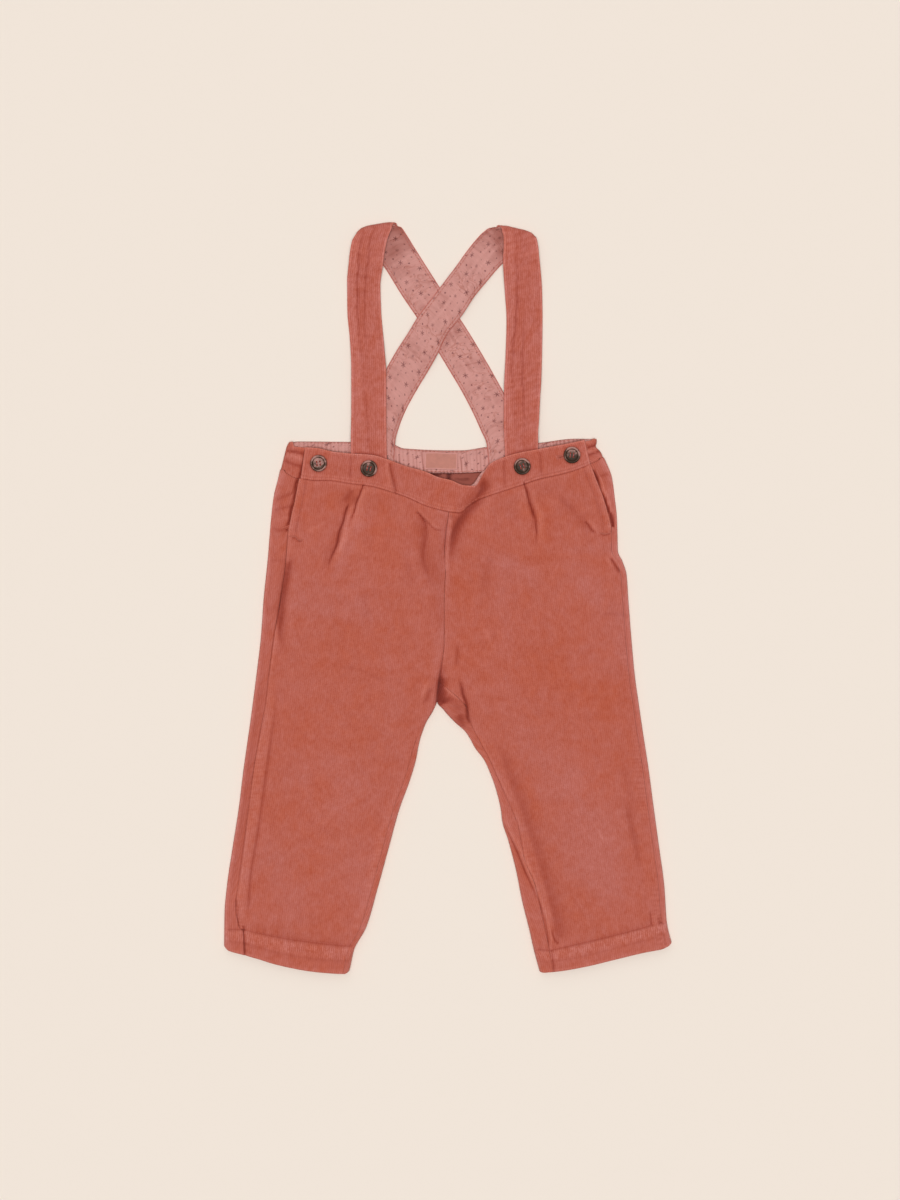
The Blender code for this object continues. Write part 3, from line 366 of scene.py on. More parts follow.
# Creases of the upper side, each walked along its path: height, reach to the walker's right,
# reach to the left, share over which it grows, share over which it fades, path of x, y
FRONT_CREASES = [
    # Left pleat
    (1.2, 1.6, 2.6, 0.2, 0.4, [(-69.5, 74), (-71.8, 69.5), (-76.2, 58), (-79, 44), (-84.3, 30),
                               (-89, 20)]),
    (0.9, 1.4, 5.5, 0.05, 0.5, [(-62, 84), (-65.5, 72), (-70, 60), (-74.5, 48), (-79, 38)]),
    (-1.3, 0.6, 0.55, 0.0, 0.4, [(-64, 84), (-66.8, 76.6), (-69.2, 71), (-70.2, 66),
                                 (-72.8, 60.4), (-74.6, 53)]),
    (-1.3, 0.75, 0.6, 0.1, 0.4, [(-74.6, 71.5), (-77.2, 65), (-78.6, 58.4), (-82.2, 49),
                                 (-83.6, 41), (-87.8, 31), (-91.3, 20.9)]),
    (0.6, 0.7, 0.7, 0.05, 0.5, [(-62.6, 82), (-65.4, 75.6), (-67.8, 69), (-70.6, 60),
                                (-73, 51)]),
    (-0.6, 3.0, 2.0, 0.1, 0.5, [(-71.1, 81.7), (-76.1, 75.6), (-81.2, 68.5)]),
    # Right pleat
    (-1.5, 0.65, 0.55, 0.0, 0.3, [(58.3, 86), (60.2, 79), (61.4, 74), (64.9, 63), (65.4, 58)]),
    (-1.1, 0.6, 0.6, 0.3, 0.5, [(63, 70), (65.4, 64.6), (66.9, 58), (67.5, 48), (67.4, 38)]),
    (0.6, 0.6, 0.6, 0.1, 0.4, [(56.8, 83), (59, 76), (61, 69)]),
    (0.8, 1.1, 3.2, 0.1, 0.5, [(62.5, 84), (65.5, 74), (69, 62), (70, 50), (69.2, 36)]),
    (0.7, 5.0, 1.2, 0.05, 0.6, [(56.5, 83), (58.5, 73), (61.5, 63), (63.8, 52)]),
    (0.4, 3.0, 3.0, 0.2, 0.6, [(72.8, 76.6), (80, 70), (87, 64.5)]),
    (-0.45, 2.5, 2.5, 0.2, 0.5, [(83, 76.6), (92, 69), (101.2, 60.4)]),
    (-0.9, 0.8, 0.7, 0.2, 0.3, [(103, 58.4), (106.6, 55.6), (109.4, 51.4), (113.7, 48.6)]),
    (0.5, 1.2, 2.0, 0.3, 0.4, [(104, 61), (110, 54.5), (116, 47)]),
    # Left front
    (0.3, 1.5, 1.5, 0.2, 0.5, [(-108.6, 49.3), (-99.4, 53.3), (-89.3, 59.4)]),
    (-0.6, 3.0, 1.5, 0.1, 0.5, [(-22, 65), (-17.3, 56.4), (-15.9, 48.3), (-17.3, 40.2),
                                (-18.4, 30), (-15.3, 19.9), (-12.3, 11.8), (-8.2, 1.6)]),
    (-0.6, 0.6, 0.6, 0.1, 0.5, [(-23.4, 65.6), (-19.2, 60.6), (-16.6, 55.4), (-15.2, 49)]),
    (0.5, 9.0, 9.0, 0.3, 0.4, [(-44, 72), (-38, 60), (-34, 42)]),
    (-0.16, 1.2, 1.2, 0.3, 0.4, [(-89.3, -51), (-69, -54.1), (-48.8, -62.2), (-36.6, -63.2)]),
    (0.4, 4.0, 4.0, 0.3, 0.5, [(-66, 48), (-71, 38), (-76, 26)]),
    (-0.3, 4.0, 5.0, 0.3, 0.5, [(-60, 12), (-63, -8), (-60, -28)]),
    # From the roll of the front band down to the centre seam
    (-1.2, 1.8, 4.2, 0.1, 0.45, [(28.2, 94), (26.2, 82.7), (22.2, 74.6), (16.1, 68.5),
                                 (10, 60.4), (4.9, 50.3), (1.9, 40.2), (0.9, 30), (0, 20)]),
    (0.6, 4.0, 5.0, 0.2, 0.4, [(33, 78), (25, 62), (15, 46)]),
    (0.45, 0.9, 1.3, 0.1, 0.3, [(2.4, 62), (0.9, 42), (-0.9, 26), (-1.2, 14)]),
    (-0.4, 4.0, 4.5, 0.4, 0.4, [(32.3, 36.1), (29.3, 17.9), (27.2, -2.4)]),
    (0.25, 1.3, 1.3, 0.3, 0.4, [(26.2, -18.6), (33.3, -34.8), (37.4, -45)]),
    # Below the right opening
    (0.5, 1.2, 1.2, 0.3, 0.3, [(119.4, 33.1), (125.5, 21.9)]),
    (-0.9, 1.2, 1.2, 0.2, 0.3, [(123, 31), (126.5, 26), (131.6, 17.9)]),
    (0.6, 1.2, 1.2, 0.2, 0.3, [(123.5, 36), (128, 28), (133, 18)]),
    (-0.2, 1.5, 1.5, 0.4, 0.05, [(112, -15.5), (122.5, -12.5), (139, -13.6)]),
    # Fork
    (-0.4, 1.4, 2.0, 0.4, 0.3, [(7.5, -32), (7.2, -44), (6.2, -54)]),
    (-1.2, 1.0, 1.5, 0.3, 0.2, [(8.6, -60), (10, -66), (11.4, -73), (14.4, -82), (15, -90),
                                (17.4, -98)]),
    (-1.3, 1.6, 2.2, 0.5, 0.0, [(-3.4, -44), (-5, -58), (-6.6, -69), (-8, -81)]),
    (0.5, 0.8, 0.8, 0.2, 0.2, [(-3.6, -66.8), (3, -72.6), (9.6, -77.6)]),
    (0.5, 1.6, 1.6, 0.3, 0.4, [(-14.5, -62), (-17.5, -70), (-22, -78)]),
    (-0.5, 1.8, 1.8, 0.3, 0.3, [(-11.5, -66), (-14.5, -74), (-18.5, -82)]),
    # Left side seam and the seam allowance behind it
    (-0.95, 1.2, 3.2, 0.1, 0.35, [(-119.7, 31), (-121.7, 21.9), (-124.8, 5.7), (-127.4, -10.5),
                                  (-128.2, -22.7), (-126.2, -34.8), (-124.2, -46)]),
    (0.6, 3.8, 3.6, 0.25, 0.05, [(-132, -52), (-134.5, -80), (-142.6, -130), (-150.4, -190),
                                 (-156.5, -232), (-155, -250)]),
    (-0.4, 1.0, 1.4, 0.3, 0.1, [(-128.6, -60), (-130.4, -80), (-137, -128), (-144.4, -180),
                                (-149.6, -212), (-151.8, -244)]),
    (-0.7, 0.8, 0.8, 0.1, 0.2, [(-160.6, -228), (-159.2, -236), (-158.4, -244), (-157.6, -251)]),
    (-0.9, 0.8, 1.2, 0.1, 0.0, [(-154.9, -248), (-154.4, -256), (-153.9, -264), (-153.8, -272)]),
    # Left inside leg
    (0.5, 3.4, 3.4, 0.2, 0.05, [(-31, -128), (-43, -160), (-53, -195), (-62, -228), (-70, -256)]),
    # Right inside leg
    (0.8, 1.6, 1.6, 0.3, 0.4, [(40.5, -158), (46.5, -175), (55, -190), (61.5, -206),
                               (67.5, -222), (73, -242)]),
    (-0.7, 0.8, 0.8, 0.2, 0.3, [(40.5, -164), (44.5, -175), (52, -191), (58.5, -207),
                                (65.1, -221), (72.4, -238)]),
    (-0.6, 0.7, 0.8, 0.3, 0.1, [(67.6, -222), (71.8, -236.5), (75, -250), (77.8, -265)]),
    (-0.8, 0.8, 0.8, 0.4, 0.1, [(78, -250), (81, -259), (85, -263.4)]),
    (0.5, 0.8, 0.8, 0.3, 0.1, [(70, -224), (74, -238), (77, -250), (79.6, -262)]),
    (0.5, 2.6, 2.6, 0.2, 0.1, [(27, -98), (38, -122), (50, -152), (60, -180), (68, -205),
                               (76, -236), (80, -256)]),
    # Right leg
    (0.35, 7.0, 7.0, 0.3, 0.4, [(88, -127), (100, -140), (113, -155)]),
    (0.3, 1.0, 1.0, 0.3, 0.3, [(113.8, -174.6), (115, -178), (118.6, -184.3)]),
    (-0.45, 2.5, 2.6, 0.3, 0.3, [(133.2, -150), (138.1, -167.3), (143, -189.2),
                                 (146.6, -212)]),
    (0.45, 4.5, 4.5, 0.3, 0.3, [(146, -105), (151, -135.7), (155.2, -160), (158.6, -190),
                                (160, -226)]),
    (-0.55, 0.7, 0.7, 0.3, 0.1, [(153.0, -237), (154, -242), (154.4, -249.5)]),
    (-0.35, 0.8, 0.8, 0.3, 0.1, [(159.6, -241), (161.2, -250)]),
    (0.35, 1.6, 1.6, 0.3, 0.1, [(156.2, -238), (157.8, -250)]),
    (-0.6, 0.8, 0.8, 0.1, 0.0, [(78.6, -266), (80, -276), (81.6, -290)]),
    # Underlap and side of the back, left
    (-0.4, 1.2, 1.4, 0.1, 0.2, [(-131, 73), (-123.8, 76.6), (-113, 81)]),
    (-0.4, 1.2, 1.2, 0.1, 0.2, [(-134, 65.5), (-126, 67.8), (-117, 69.5)]),
    (0.4, 1.4, 1.4, 0.1, 0.2, [(-133, 58), (-126, 59.5), (-118.5, 61)]),
    (-0.45, 1.3, 1.3, 0.05, 0.2, [(-135.5, 53), (-128, 51.4), (-119, 50.4)]),
    (-0.18, 1.3, 1.3, 0.1, 0.3, [(-136, 28.6), (-129, 28), (-121, 28.4)]),
    (-0.15, 1.4, 1.4, 0.1, 0.3, [(-139, -10), (-133, -9), (-127, -7)]),
    # Side of the back, right
    (-0.5, 1.2, 1.2, 0.2, 0.1, [(111.5, 88), (117, 92), (123, 94)]),
    (-0.4, 1.2, 1.2, 0.2, 0.1, [(119, 66), (123, 69), (128, 70.5)]),
    (0.35, 1.2, 1.2, 0.2, 0.1, [(116, 78), (121, 81), (127, 82)]),
    # End of the fourth buttonhole
    (-1.8, 0.5, 0.5, 0.1, 0.1, [(88.8, 106.6), (83.2, 105.4)]),
    # Curved stitches beside the centre seam
    (-0.55, 0.55, 0.55, 0.05, 0.1, [(-23.9, 65.5), (-17, 58.9), (-13.3, 55.6), (-11, 52.8),
                                    (-6.7, 51.3), (-2.4, 51)]),
    (0.35, 0.8, 0.8, 0.05, 0.1, [(-22.4, 67), (-15.6, 60.2), (-11.8, 56.8), (-9.6, 54.4),
                                 (-5.4, 52.8)]),
    # Bartack and curved stitches at the openings
    (-0.5, 0.7, 0.7, 0.1, 0.1, [(-119.6, 45.6), (-115.4, 45.2), (-112.4, 42.6), (-109, 42.8)]),
    (-0.5, 0.7, 0.7, 0.1, 0.1, [(124.4, 48.4), (119, 47.2), (115.2, 48.8)]),
    # Ends of the braces behind the front band
    (-0.55, 0.8, 1.6, 0.1, 0.1, [(-44.4, 103), (-42.6, 94), (-40.6, 86), (-38.9, 77)]),
    (0.4, 1.4, 1.0, 0.1, 0.1, [(-46.4, 103), (-45, 93), (-43.2, 84), (-41.6, 78)]),
    (-0.35, 1.0, 1.0, 0.1, 0.1, [(69.8, 111), (70.4, 100), (71, 91)]),
    (-0.3, 1.0, 1.0, 0.1, 0.1, [(-73.2, 108), (-73.4, 97), (-73.6, 87)]),
    (-0.3, 1.0, 1.0, 0.1, 0.1, [(42.6, 105), (43, 93), (43.6, 82)]),
]

# Broad soft painted shade, and painted light where positive, of the upper side in the same form,
# as tone
PAINTED_SHADE_AND_LIGHT = [
    (-0.55, 6.0, 5.0, 0.1, 0.3, [(30, 92), (24, 80), (16, 68), (9, 58), (4, 46), (2, 34), (1, 22)]),
    (-0.32, 4.5, 3.0, 0.1, 0.3, [(-68, 82), (-74, 66), (-81, 48), (-89, 30), (-96, 15)]),
    (-0.55, 0.9, 0.9, 0.0, 0.4, [(-64, 84), (-66.8, 76.6), (-69.2, 71), (-70.2, 66),
                                 (-72.8, 60.4), (-74.6, 53)]),
    (-0.55, 1.0, 1.0, 0.1, 0.4, [(-74.6, 71.5), (-77.2, 65), (-78.6, 58.4), (-82.2, 49),
                                 (-83.6, 41), (-87.8, 31), (-91.3, 20.9)]),
    (-0.45, 0.9, 0.9, 0.0, 0.3, [(58.3, 86), (60.2, 79), (61.4, 74), (64.9, 63), (65.4, 58)]),
    (-0.2, 5.0, 5.0, 0.2, 0.3, [(-27, 62), (-20, 48), (-17, 36), (-13, 22), (-8, 6)]),
    (-0.15, 4.0, 4.0, 0.3, 0.3, [(-30, 30), (-28, 5)]),
    (-0.45, 3.5, 3.5, 0.2, 0.2, [(-120, 35), (-123, 15), (-126, -5), (-127, -28)]),
    (-0.45, 3.0, 7.0, 0.25, 0.05, [(27, -98), (39, -122), (51, -150), (60, -175), (69, -203),
                                   (79, -235), (86, -262)]),
    (0.35, 3.5, 3.5, 0.2, 0.3, [(9, -98), (16, -106), (24, -118), (33, -136), (40, -160),
                                (48, -190)]),
    (-0.12, 6.0, 6.0, 0.1, 0.1, [(-141, -60), (-148, -110), (-156, -170), (-163, -225)]),
    (-0.14, 8.0, 1.0, 0.2, 0.2, [(-4, 44), (-4, 10), (-5, -30)]),
    (-0.14, 4.0, 3.0, 0.05, 0.05, [(-150, -249), (-120, -256), (-95, -260), (-78, -262)]),
    (-0.1, 4.0, 3.0, 0.05, 0.05, [(86, -263), (105, -260), (130, -254), (165, -241)]),
    (-1.6, 3.0, 3.8, 0.3, 0.1, [(-5, -58), (-5, -68), (-4, -82)]),
    (-0.6, 2.0, 2.5, 0.1, 0.3, [(-5, -80), (0, -77.5), (5, -77)]),
    (-0.6, 3.0, 3.0, 0.2, 0.2, [(9, -88), (10, -94), (13, -99)]),
    (-0.3, 5.0, 5.0, 0.2, 0.2, [(4, -72), (9, -84), (13, -96)]),
    (-0.25, 4.0, 5.0, 0.1, 0.3, [(59, 84), (63, 70), (66, 58), (67, 48)]),
    (-0.25, 4.0, 4.0, 0.2, 0.2, [(98, 64), (104, 56), (110, 48)]),
    (-0.12, 4.0, 4.0, 0.2, 0.2, [(134, -125), (138, -150), (142, -172)]),
    (-0.15, 6.0, 6.0, 0.2, 0.2, [(-138, 60), (-142, 20), (-146, -40), (-154, -120), (-162, -200)]),
]
# Where the nap has turned pinker, or browner below 0, in the same form
CASTS = [
    (0.9, 14.0, 14.0, 0.0, 0.0, [(-100, -2), (-76, -6)]),
    (0.9, 4.0, 4.0, 0.1, 0.1, [(-63, 60), (-75, 36), (-89, 12)]),
    (-0.9, 11.0, 11.0, 0.0, 0.0, [(-50, 58), (-46, 34)]),
    (-0.6, 9.0, 9.0, 0.0, 0.0, [(-105, 72), (-82, 76)]),
    (-0.6, 14.0, 14.0, 0.0, 0.0, [(12, -8), (14, -30)]),
    (-0.5, 18.0, 18.0, 0.0, 0.0, [(70, 60), (74, 30), (76, -20), (72, -50)]),
    (1.2, 7.0, 7.0, 0.0, 0.0, [(44, 26), (62, 16)]),
    (0.8, 4.0, 4.0, 0.0, 0.0, [(98, 36), (120, 38)]),
    (-0.7, 5.0, 5.0, 0.0, 0.0, [(107, 31), (112, 26)]),
    (0.9, 8.0, 8.0, 0.0, 0.0, [(106, 10), (112, 2)]),
    (0.8, 7.0, 7.0, 0.0, 0.0, [(129, -10), (133, -40)]),
    (-0.7, 13.0, 13.0, 0.0, 0.0, [(80, -60), (102, -72)]),
    (-0.7, 13.0, 13.0, 0.0, 0.0, [(118, -90), (112, -128)]),
    (1.1, 20.0, 20.0, 0.0, 0.0, [(106, -168), (112, -190)]),
    (0.8, 10.0, 10.0, 0.0, 0.0, [(84, -142), (98, -136)]),
    (0.6, 10.0, 10.0, 0.0, 0.0, [(62, -116), (54, -106)]),
    (-0.7, 7.0, 7.0, 0.0, 0.0, [(62, -148), (66, -158)]),
    (-0.5, 24.0, 24.0, 0.0, 0.0, [(-80, -40), (-90, -90)]),
    (0.6, 11.0, 11.0, 0.0, 0.0, [(-113, -134), (-107, -128)]),
    (0.6, 11.0, 11.0, 0.0, 0.0, [(-74, -136), (-62, -142)]),
    (-0.4, 11.0, 11.0, 0.0, 0.0, [(-118, -160), (-108, -180)]),
    (0.6, 11.0, 11.0, 0.0, 0.0, [(-130, -200), (-122, -222)]),
    (0.6, 9.0, 9.0, 0.0, 0.0, [(-64, -205), (-66, -236)]),
    (0.4, 9.0, 9.0, 0.0, 0.0, [(-80, -160), (-76, -180)]),
]
# Painted sheen along the folds of the legs, as a pinker cast: strength, reach
FOLD_SHEEN_CAST = 0.9
FOLD_SHEEN_REACH = 5.0

# Creases of the underside, as dents away from the surface that it lies on
BACK_CREASES = [
    (0.9, 0.8, 0.8, 0.1, 0.3, [(1.0, 95), (1.4, 90), (0.6, 82)]),
    (0.6, 0.9, 0.9, 0.2, 0.2, [(-22, 94), (-14, 91.4), (-6, 90.5)]),
    (0.6, 0.7, 0.7, 0.2, 0.3, [(4, 93), (11, 90.4), (20, 90)]),
    (0.5, 0.7, 0.7, 0.2, 0.3, [(5, 89), (12, 87.4), (18, 86.6)]),
    (0.9, 2.6, 1.6, 0.2, 0.4, [(-14, 34), (-24, 10), (-42, -16), (-66, -34)]),
    (0.8, 1.8, 2.8, 0.2, 0.4, [(10, 30), (24, 4), (44, -20), (70, -38)]),
    (0.6, 2.0, 2.0, 0.3, 0.4, [(-20, -30), (-44, -44), (-74, -50)]),
    (0.6, 1.6, 2.4, 0.3, 0.4, [(14, -34), (40, -52), (78, -60)]),
    (0.5, 2.0, 2.0, 0.3, 0.5, [(-46, -104), (-70, -98), (-104, -106)]),
    (0.5, 2.0, 2.0, 0.3, 0.5, [(50, -112), (80, -104), (112, -110)]),
    (0.6, 2.2, 1.6, 0.3, 0.4, [(-100, 70), (-92, 44), (-96, 14)]),
    (0.5, 1.6, 2.2, 0.3, 0.4, [(92, 74), (86, 46), (92, 10)]),
    (0.35, 3.0, 3.0, 0.3, 0.3, [(-64, -150), (-84, -190), (-92, -232)]),
    (0.35, 3.0, 3.0, 0.3, 0.3, [(74, -150), (98, -196), (108, -236)]),
]

# Painted shade and light on the crumpled cord that shows inside the waist below the facing, and
# painted shadow under the facing's edge, in the same form as the broad shades above
INSIDE_PAINTED_SHADE = [
    (-0.9, 1.6, 2.2, 0.1, 0.2, [(-17.5, 96.5), (-13, 94.6), (-8, 93.4), (-4, 93.2)]),
    (-1.0, 1.5, 1.7, 0.05, 0.3, [(0.4, 98), (1.2, 94), (1.0, 90), (0.4, 86)]),
    (0.55, 1.3, 1.3, 0.2, 0.3, [(-9, 96.4), (-4.6, 95.6), (-2, 94)]),
    (0.5, 1.2, 1.2, 0.2, 0.3, [(4, 93.6), (9, 92.4), (15, 92.2), (23, 93)]),
    (-0.5, 1.3, 1.3, 0.2, 0.2, [(5, 90.6), (11, 89.6), (18, 90)]),
]

# Middle and reach of the fork, where the right back has turned up: x, y, reach
FORK_SPOT = (2.0, -80.0, 20.0)

# Colours as linear RGB
WHITE = (1.0, 1.0, 1.0)
CORD_MID = (0.468, 0.115, 0.078)
# Multipliers of the cord's colour: nap, cast, wear, and tone from painted shade in a deep crease
# to a ridge lighter partly from wear and partly from painted light
NAP_DARK = (0.87, 0.72, 0.62)
NAP_LIGHT = (1.13, 1.30, 1.40)
CAST_ORANGE = (0.985, 0.86, 0.72)
CAST_PINK = (1.02, 1.15, 1.30)
WORN_DARK = (0.975, 0.965, 0.96)
WORN_LIGHT = (1.025, 1.035, 1.04)
TONES = [
    (0.0, (0.42, 0.22, 0.20)), (0.25, (0.74, 0.56, 0.52)), (0.5, (1.0, 1.0, 1.0)),
    (1.0, (1.26, 1.55, 1.68)),
]
CORD_BACK_DARK = (0.33, 0.080, 0.058)
CORD_BACK_LIGHT = (0.54, 0.165, 0.122)
PRINT_GROUND = (0.650, 0.300, 0.262)
PRINT_MOTIF = (0.180, 0.050, 0.048)
# Multipliers of the printed cotton's colour by tone, from painted shade to painted light
PRINT_TONES = [(0.0, (0.50, 0.30, 0.25)), (0.5, (1.0, 1.0, 1.0)), (1.0, (1.12, 1.18, 1.2))]
LABEL_GROUND = (0.660, 0.275, 0.215)
THREAD = (0.600, 0.165, 0.118)
DARK_THREAD = (0.150, 0.045, 0.042)
BUTTON_THREAD = (0.60, 0.16, 0.16)
BUTTON_COLOURS = [
    (0.0, (0.040, 0.022, 0.013)), (0.5, (0.105, 0.058, 0.042)), (1.0, (0.42, 0.21, 0.178)),
]
FLOOR_DARK = (0.848, 0.755, 0.667)
FLOOR_LIGHT = (0.852, 0.759, 0.671)


def ramp(value, low, high):
    """Smooth step from 0 at low to 1 at high."""
    t = np.clip((np.asarray(value, float) - low) / (high - low), 0.0, 1.0)
    return t * t * (3.0 - 2.0 * t)


def bell(value, reach, middle=0.0):
    """1 at the middle, falling smoothly to a third at reach on either side and to 0 beyond."""
    return np.exp(-((value - middle) / reach) ** 2)


def curve(rows):
    """Smooth curve through (t, value) rows that never overshoots them."""
    rows = sorted(rows)
    ts = np.array([row[0] for row in rows], float)
    values = np.array([row[1] for row in rows], float)
    secants = np.diff(values) / np.diff(ts)
    slopes = np.empty(len(ts))
    slopes[0] = secants[0]
    slopes[-1] = secants[-1]
    before = secants[:-1]
    after = secants[1:]
    product = before * after
    total = np.where(product > 0, before + after, 1.0)
    slopes[1:-1] = np.where(product > 0, 2.0 * product / total, 0.0)

    def at(t):
        t = np.clip(np.asarray(t, float), ts[0], ts[-1])
        i = np.clip(np.searchsorted(ts, t, side="right") - 1, 0, len(ts) - 2)
        width = ts[i + 1] - ts[i]
        s = (t - ts[i]) / width
        rise = s * s * (3.0 - 2.0 * s)
        start = s * (1.0 - s) ** 2 * width * slopes[i]
        end = s * s * (s - 1.0) * width * slopes[i + 1]
        return values[i] + (values[i + 1] - values[i]) * rise + start + end

    return at


def columns(rows, first, second):
    """Two columns of a table as (t, value) rows."""
    return [(row[first], row[second]) for row in rows]


def column_curves(rows):
    """A smooth curve through each column of a table, by the number of the row."""
    return [curve(list(enumerate(column))) for column in zip(*rows)]


centre_x = curve(CENTRE_SEAM)
back_seam_x = curve(BACK_SEAM)
band_low_y = curve(columns(FRONT_BAND, 2, 3))
band_top_y = curve(columns(FRONT_BAND, 0, 1))
waist_z = curve(FRONT_BAND_Z)
back_band_low_y = curve(BACK_BAND_LOW)
back_band_top_y = curve(BACK_BAND_TOP)
EDGE = {
    side: {name: curve(rows) for name, rows in edges.items()}
    for side, edges in LEG_EDGES.items()
}
OUTWARD = {"left": -1.0, "right": 1.0}


def starts_at(side, name):
    """Highest y of a leg's edge."""
    return max(row[0] for row in LEG_EDGES[side][name])


def fold_x(side, y):
    """Inner edge of a back piece: the centre back seam, then the inner fold below the fork."""
    gap = OUTWARD[side] * SEAM / 2
    above = y > starts_at(side, "inner_fold")
    return np.where(above, back_seam_x(y) + gap, EDGE[side]["inner_fold"](y))


def inner_seam_x(side, y):
    """Inner edge of a front piece: the centre seam, then the inside leg seam."""
    if side == "right":
        above = y > starts_at(side, "inner_seam")
        return np.where(above, centre_x(y) + SEAM / 2, EDGE[side]["inner_seam"](y))
    edge = np.where(y > CROTCH[1], centre_x(y) - SEAM / 2, EDGE[side]["inner_fold"](y))
    reach = FORK_SEAM * (1.0 - ramp(y, *CROTCH_TURN))
    reach = reach + (SEAM_AT_FOLD - FORK_SEAM) * (1.0 - ramp(y, *FORK_SEAM_RUN))
    return edge - reach


def outer_seam_x(side, y):
    """Outer edge of a front piece: the side opening, then the side seam."""
    if side == "left":
        return EDGE[side]["outer_seam"](y)
    at_fold = EDGE[side]["outer_fold"](y) - SEAM_AT_FOLD
    return np.where(y > EDGE_SEAM_TOP, EDGE[side]["outer_seam"](y), at_fold)


def line_runs(points):
    """Distance along a line from its first point."""
    return np.concatenate([[0], np.cumsum(np.linalg.norm(np.diff(points, axis=0), axis=1))])


def on_line(at, runs, values):
    """Values of a line at distances along it."""
    return np.stack([np.interp(at, runs, values[:, j]) for j in range(3)], axis=-1)


def path_points(path, spacing):
    """Evenly spaced points on a smooth curve through a path's points."""
    path = np.array(path, float)
    runs = line_runs(path)
    along = np.linspace(0, runs[-1], max(4, int(runs[-1] / spacing) + 1))
    fits = [curve(list(zip(runs, path[:, k]))) for k in range(path.shape[1])]
    return np.stack([fit(along) for fit in fits], axis=-1)


CREASE_STEP = 1.5


def crease_heights(x, y, creases):
    """Height, and painted shade and light as tone, that a table of creases adds at points of cloth."""
    x = np.asarray(x, float)
    y = np.asarray(y, float)
    total = np.zeros(x.shape)
    tone = np.zeros(x.shape)
    for height, right, left, grow, fade, path in creases:
        line = path_points(path, CREASE_STEP)
        margin = 2.6 * max(left, right)
        near = (x > line[:, 0].min() - margin) & (x < line[:, 0].max() + margin)
        near &= (y > line[:, 1].min() - margin) & (y < line[:, 1].max() + margin)
        if not near.any():
            continue
        px = x[near]
        py = y[near]
        ahead = np.gradient(line, axis=0)
        ahead /= np.linalg.norm(ahead, axis=1, keepdims=True)
        gap = (px[:, None] - line[:, 0]) ** 2 + (py[:, None] - line[:, 1]) ** 2
        at = gap.argmin(axis=1)
        dx = px - line[at, 0]
        dy = py - line[at, 1]
        forward = ahead[at, 0] * dx + ahead[at, 1] * dy
        side = ahead[at, 0] * dy - ahead[at, 1] * dx
        beyond = np.maximum(np.abs(forward) - CREASE_STEP, 0.0)
        reach = np.where(side > 0, left, right)
        share = np.clip(at / (len(line) - 1), 0.0, 1.0)
        profile = np.exp(-(side / reach) ** 2 - (beyond / (right + left)) ** 2)
        if grow > 0:
            profile = profile * ramp(share, 0.0, grow)
        if fade > 0:
            profile = profile * (1.0 - ramp(share, 1.0 - fade, 1.0))
        total[near] += height * profile
        # Tone follows the height: painted shade in troughs, painted light on ridges, stronger when
        # narrow
        tone[near] += height * profile * min(1.5, 2.0 / (0.5 * (right + left) + 0.2))
    return total, tone


def waves(x, y, seed, lengths, height):
    """Gentle unevenness of lying cloth, as a sum of a few plane waves."""
    random = np.random.default_rng(seed)
    total = np.zeros(np.shape(x))
    for length in lengths:
        angle = random.uniform(0, math.pi)
        phase = random.uniform(0, 2 * math.pi)
        total = total + np.sin((x * math.cos(angle) + y * math.sin(angle))
                               * 2 * math.pi / length + phase)
    return total * height / len(lengths)


def swell(distance):
    """Share of the full puff at a distance from the edge of the leg."""
    return 1.0 - bell(np.maximum(distance - FOLD_RIM, 0.0), PUFF_REACH)


def from_outer_fold(side, x, y):
    """Distance from the outer fold of a leg."""
    return OUTWARD[side] * (EDGE[side]["outer_fold"](y) - x)


def from_inner_fold(side, x, y, at_fork=0.0):
    """Distance from the inner fold of a leg or, above it, from the fork, counted from at_fork."""
    fork = np.hypot(x - CROTCH[0], y - CROTCH[1])
    return np.where(y > CROTCH[1], fork + at_fork, OUTWARD[side] * (x - fold_x(side, y)))


def over_z(side, x, y):
    """Height of the middle of the upper layer of cloth, without its creases."""
    x = np.asarray(x, float)
    y = np.asarray(y, float)
    edge = EDGE_Z + (HEM_Z - EDGE_Z) * (1.0 - ramp(y, *HEM_RISE))
    leg = edge + PUFF * swell(from_outer_fold(side, x, y)) * swell(from_inner_fold(side, x, y))
    waist = ramp(y - band_low_y(x), -WAIST_DROP, 0.0)
    return leg * (1.0 - waist) + waist_z(x) * waist


def under_z(side, x, y):
    """Height of the back piece where it comes over on to the front."""
    end = OPENING_END[side]
    step = LAP_STEP * ramp(y, end - LAP_BELOW, end + LAP_START)
    step = step + (LAP_STEP_WAIST - LAP_STEP) * ramp(y, end + LAP_START, WAIST_Y)
    return over_z(side, x, y) - step


def fold_arc(centre, away, bend, turn, floor_z, count):
    """Points round a fold, from the floor up."""
    angle = turn * np.arange(count + 1) / count
    arc = np.empty((count + 1, 3))
    arc[:, :2] = centre + away * bend * np.sin(angle)[:, None]
    arc[:, 2] = floor_z + bend * (1.0 - np.cos(angle))
    return arc


def laid_over(centre, end, count):
    """Points from a fold to the tip that lies on the upper side, and their shares of the way."""
    share = (np.arange(count) + 1.0)[:, None] / count
    flat = centre + (np.array(end["tip"]) - centre) * share
    return np.column_stack([flat, end["height"](flat[:, 0], flat[:, 1])]), share


def outer_half(end, away, floor_z, wall_out, counts):
    """Points from the floor round a fold to the tip on the upper side."""
    arc_count, wrap_count = counts
    radius = (float(end["height"](*end["fold"])) - floor_z) / 2
    centre = np.array(end["fold"]) - away * (radius + wall_out)
    laid, _ = laid_over(centre, end, wrap_count)
    return np.concatenate([fold_arc(centre, away, radius, math.pi, floor_z, arc_count), laid])


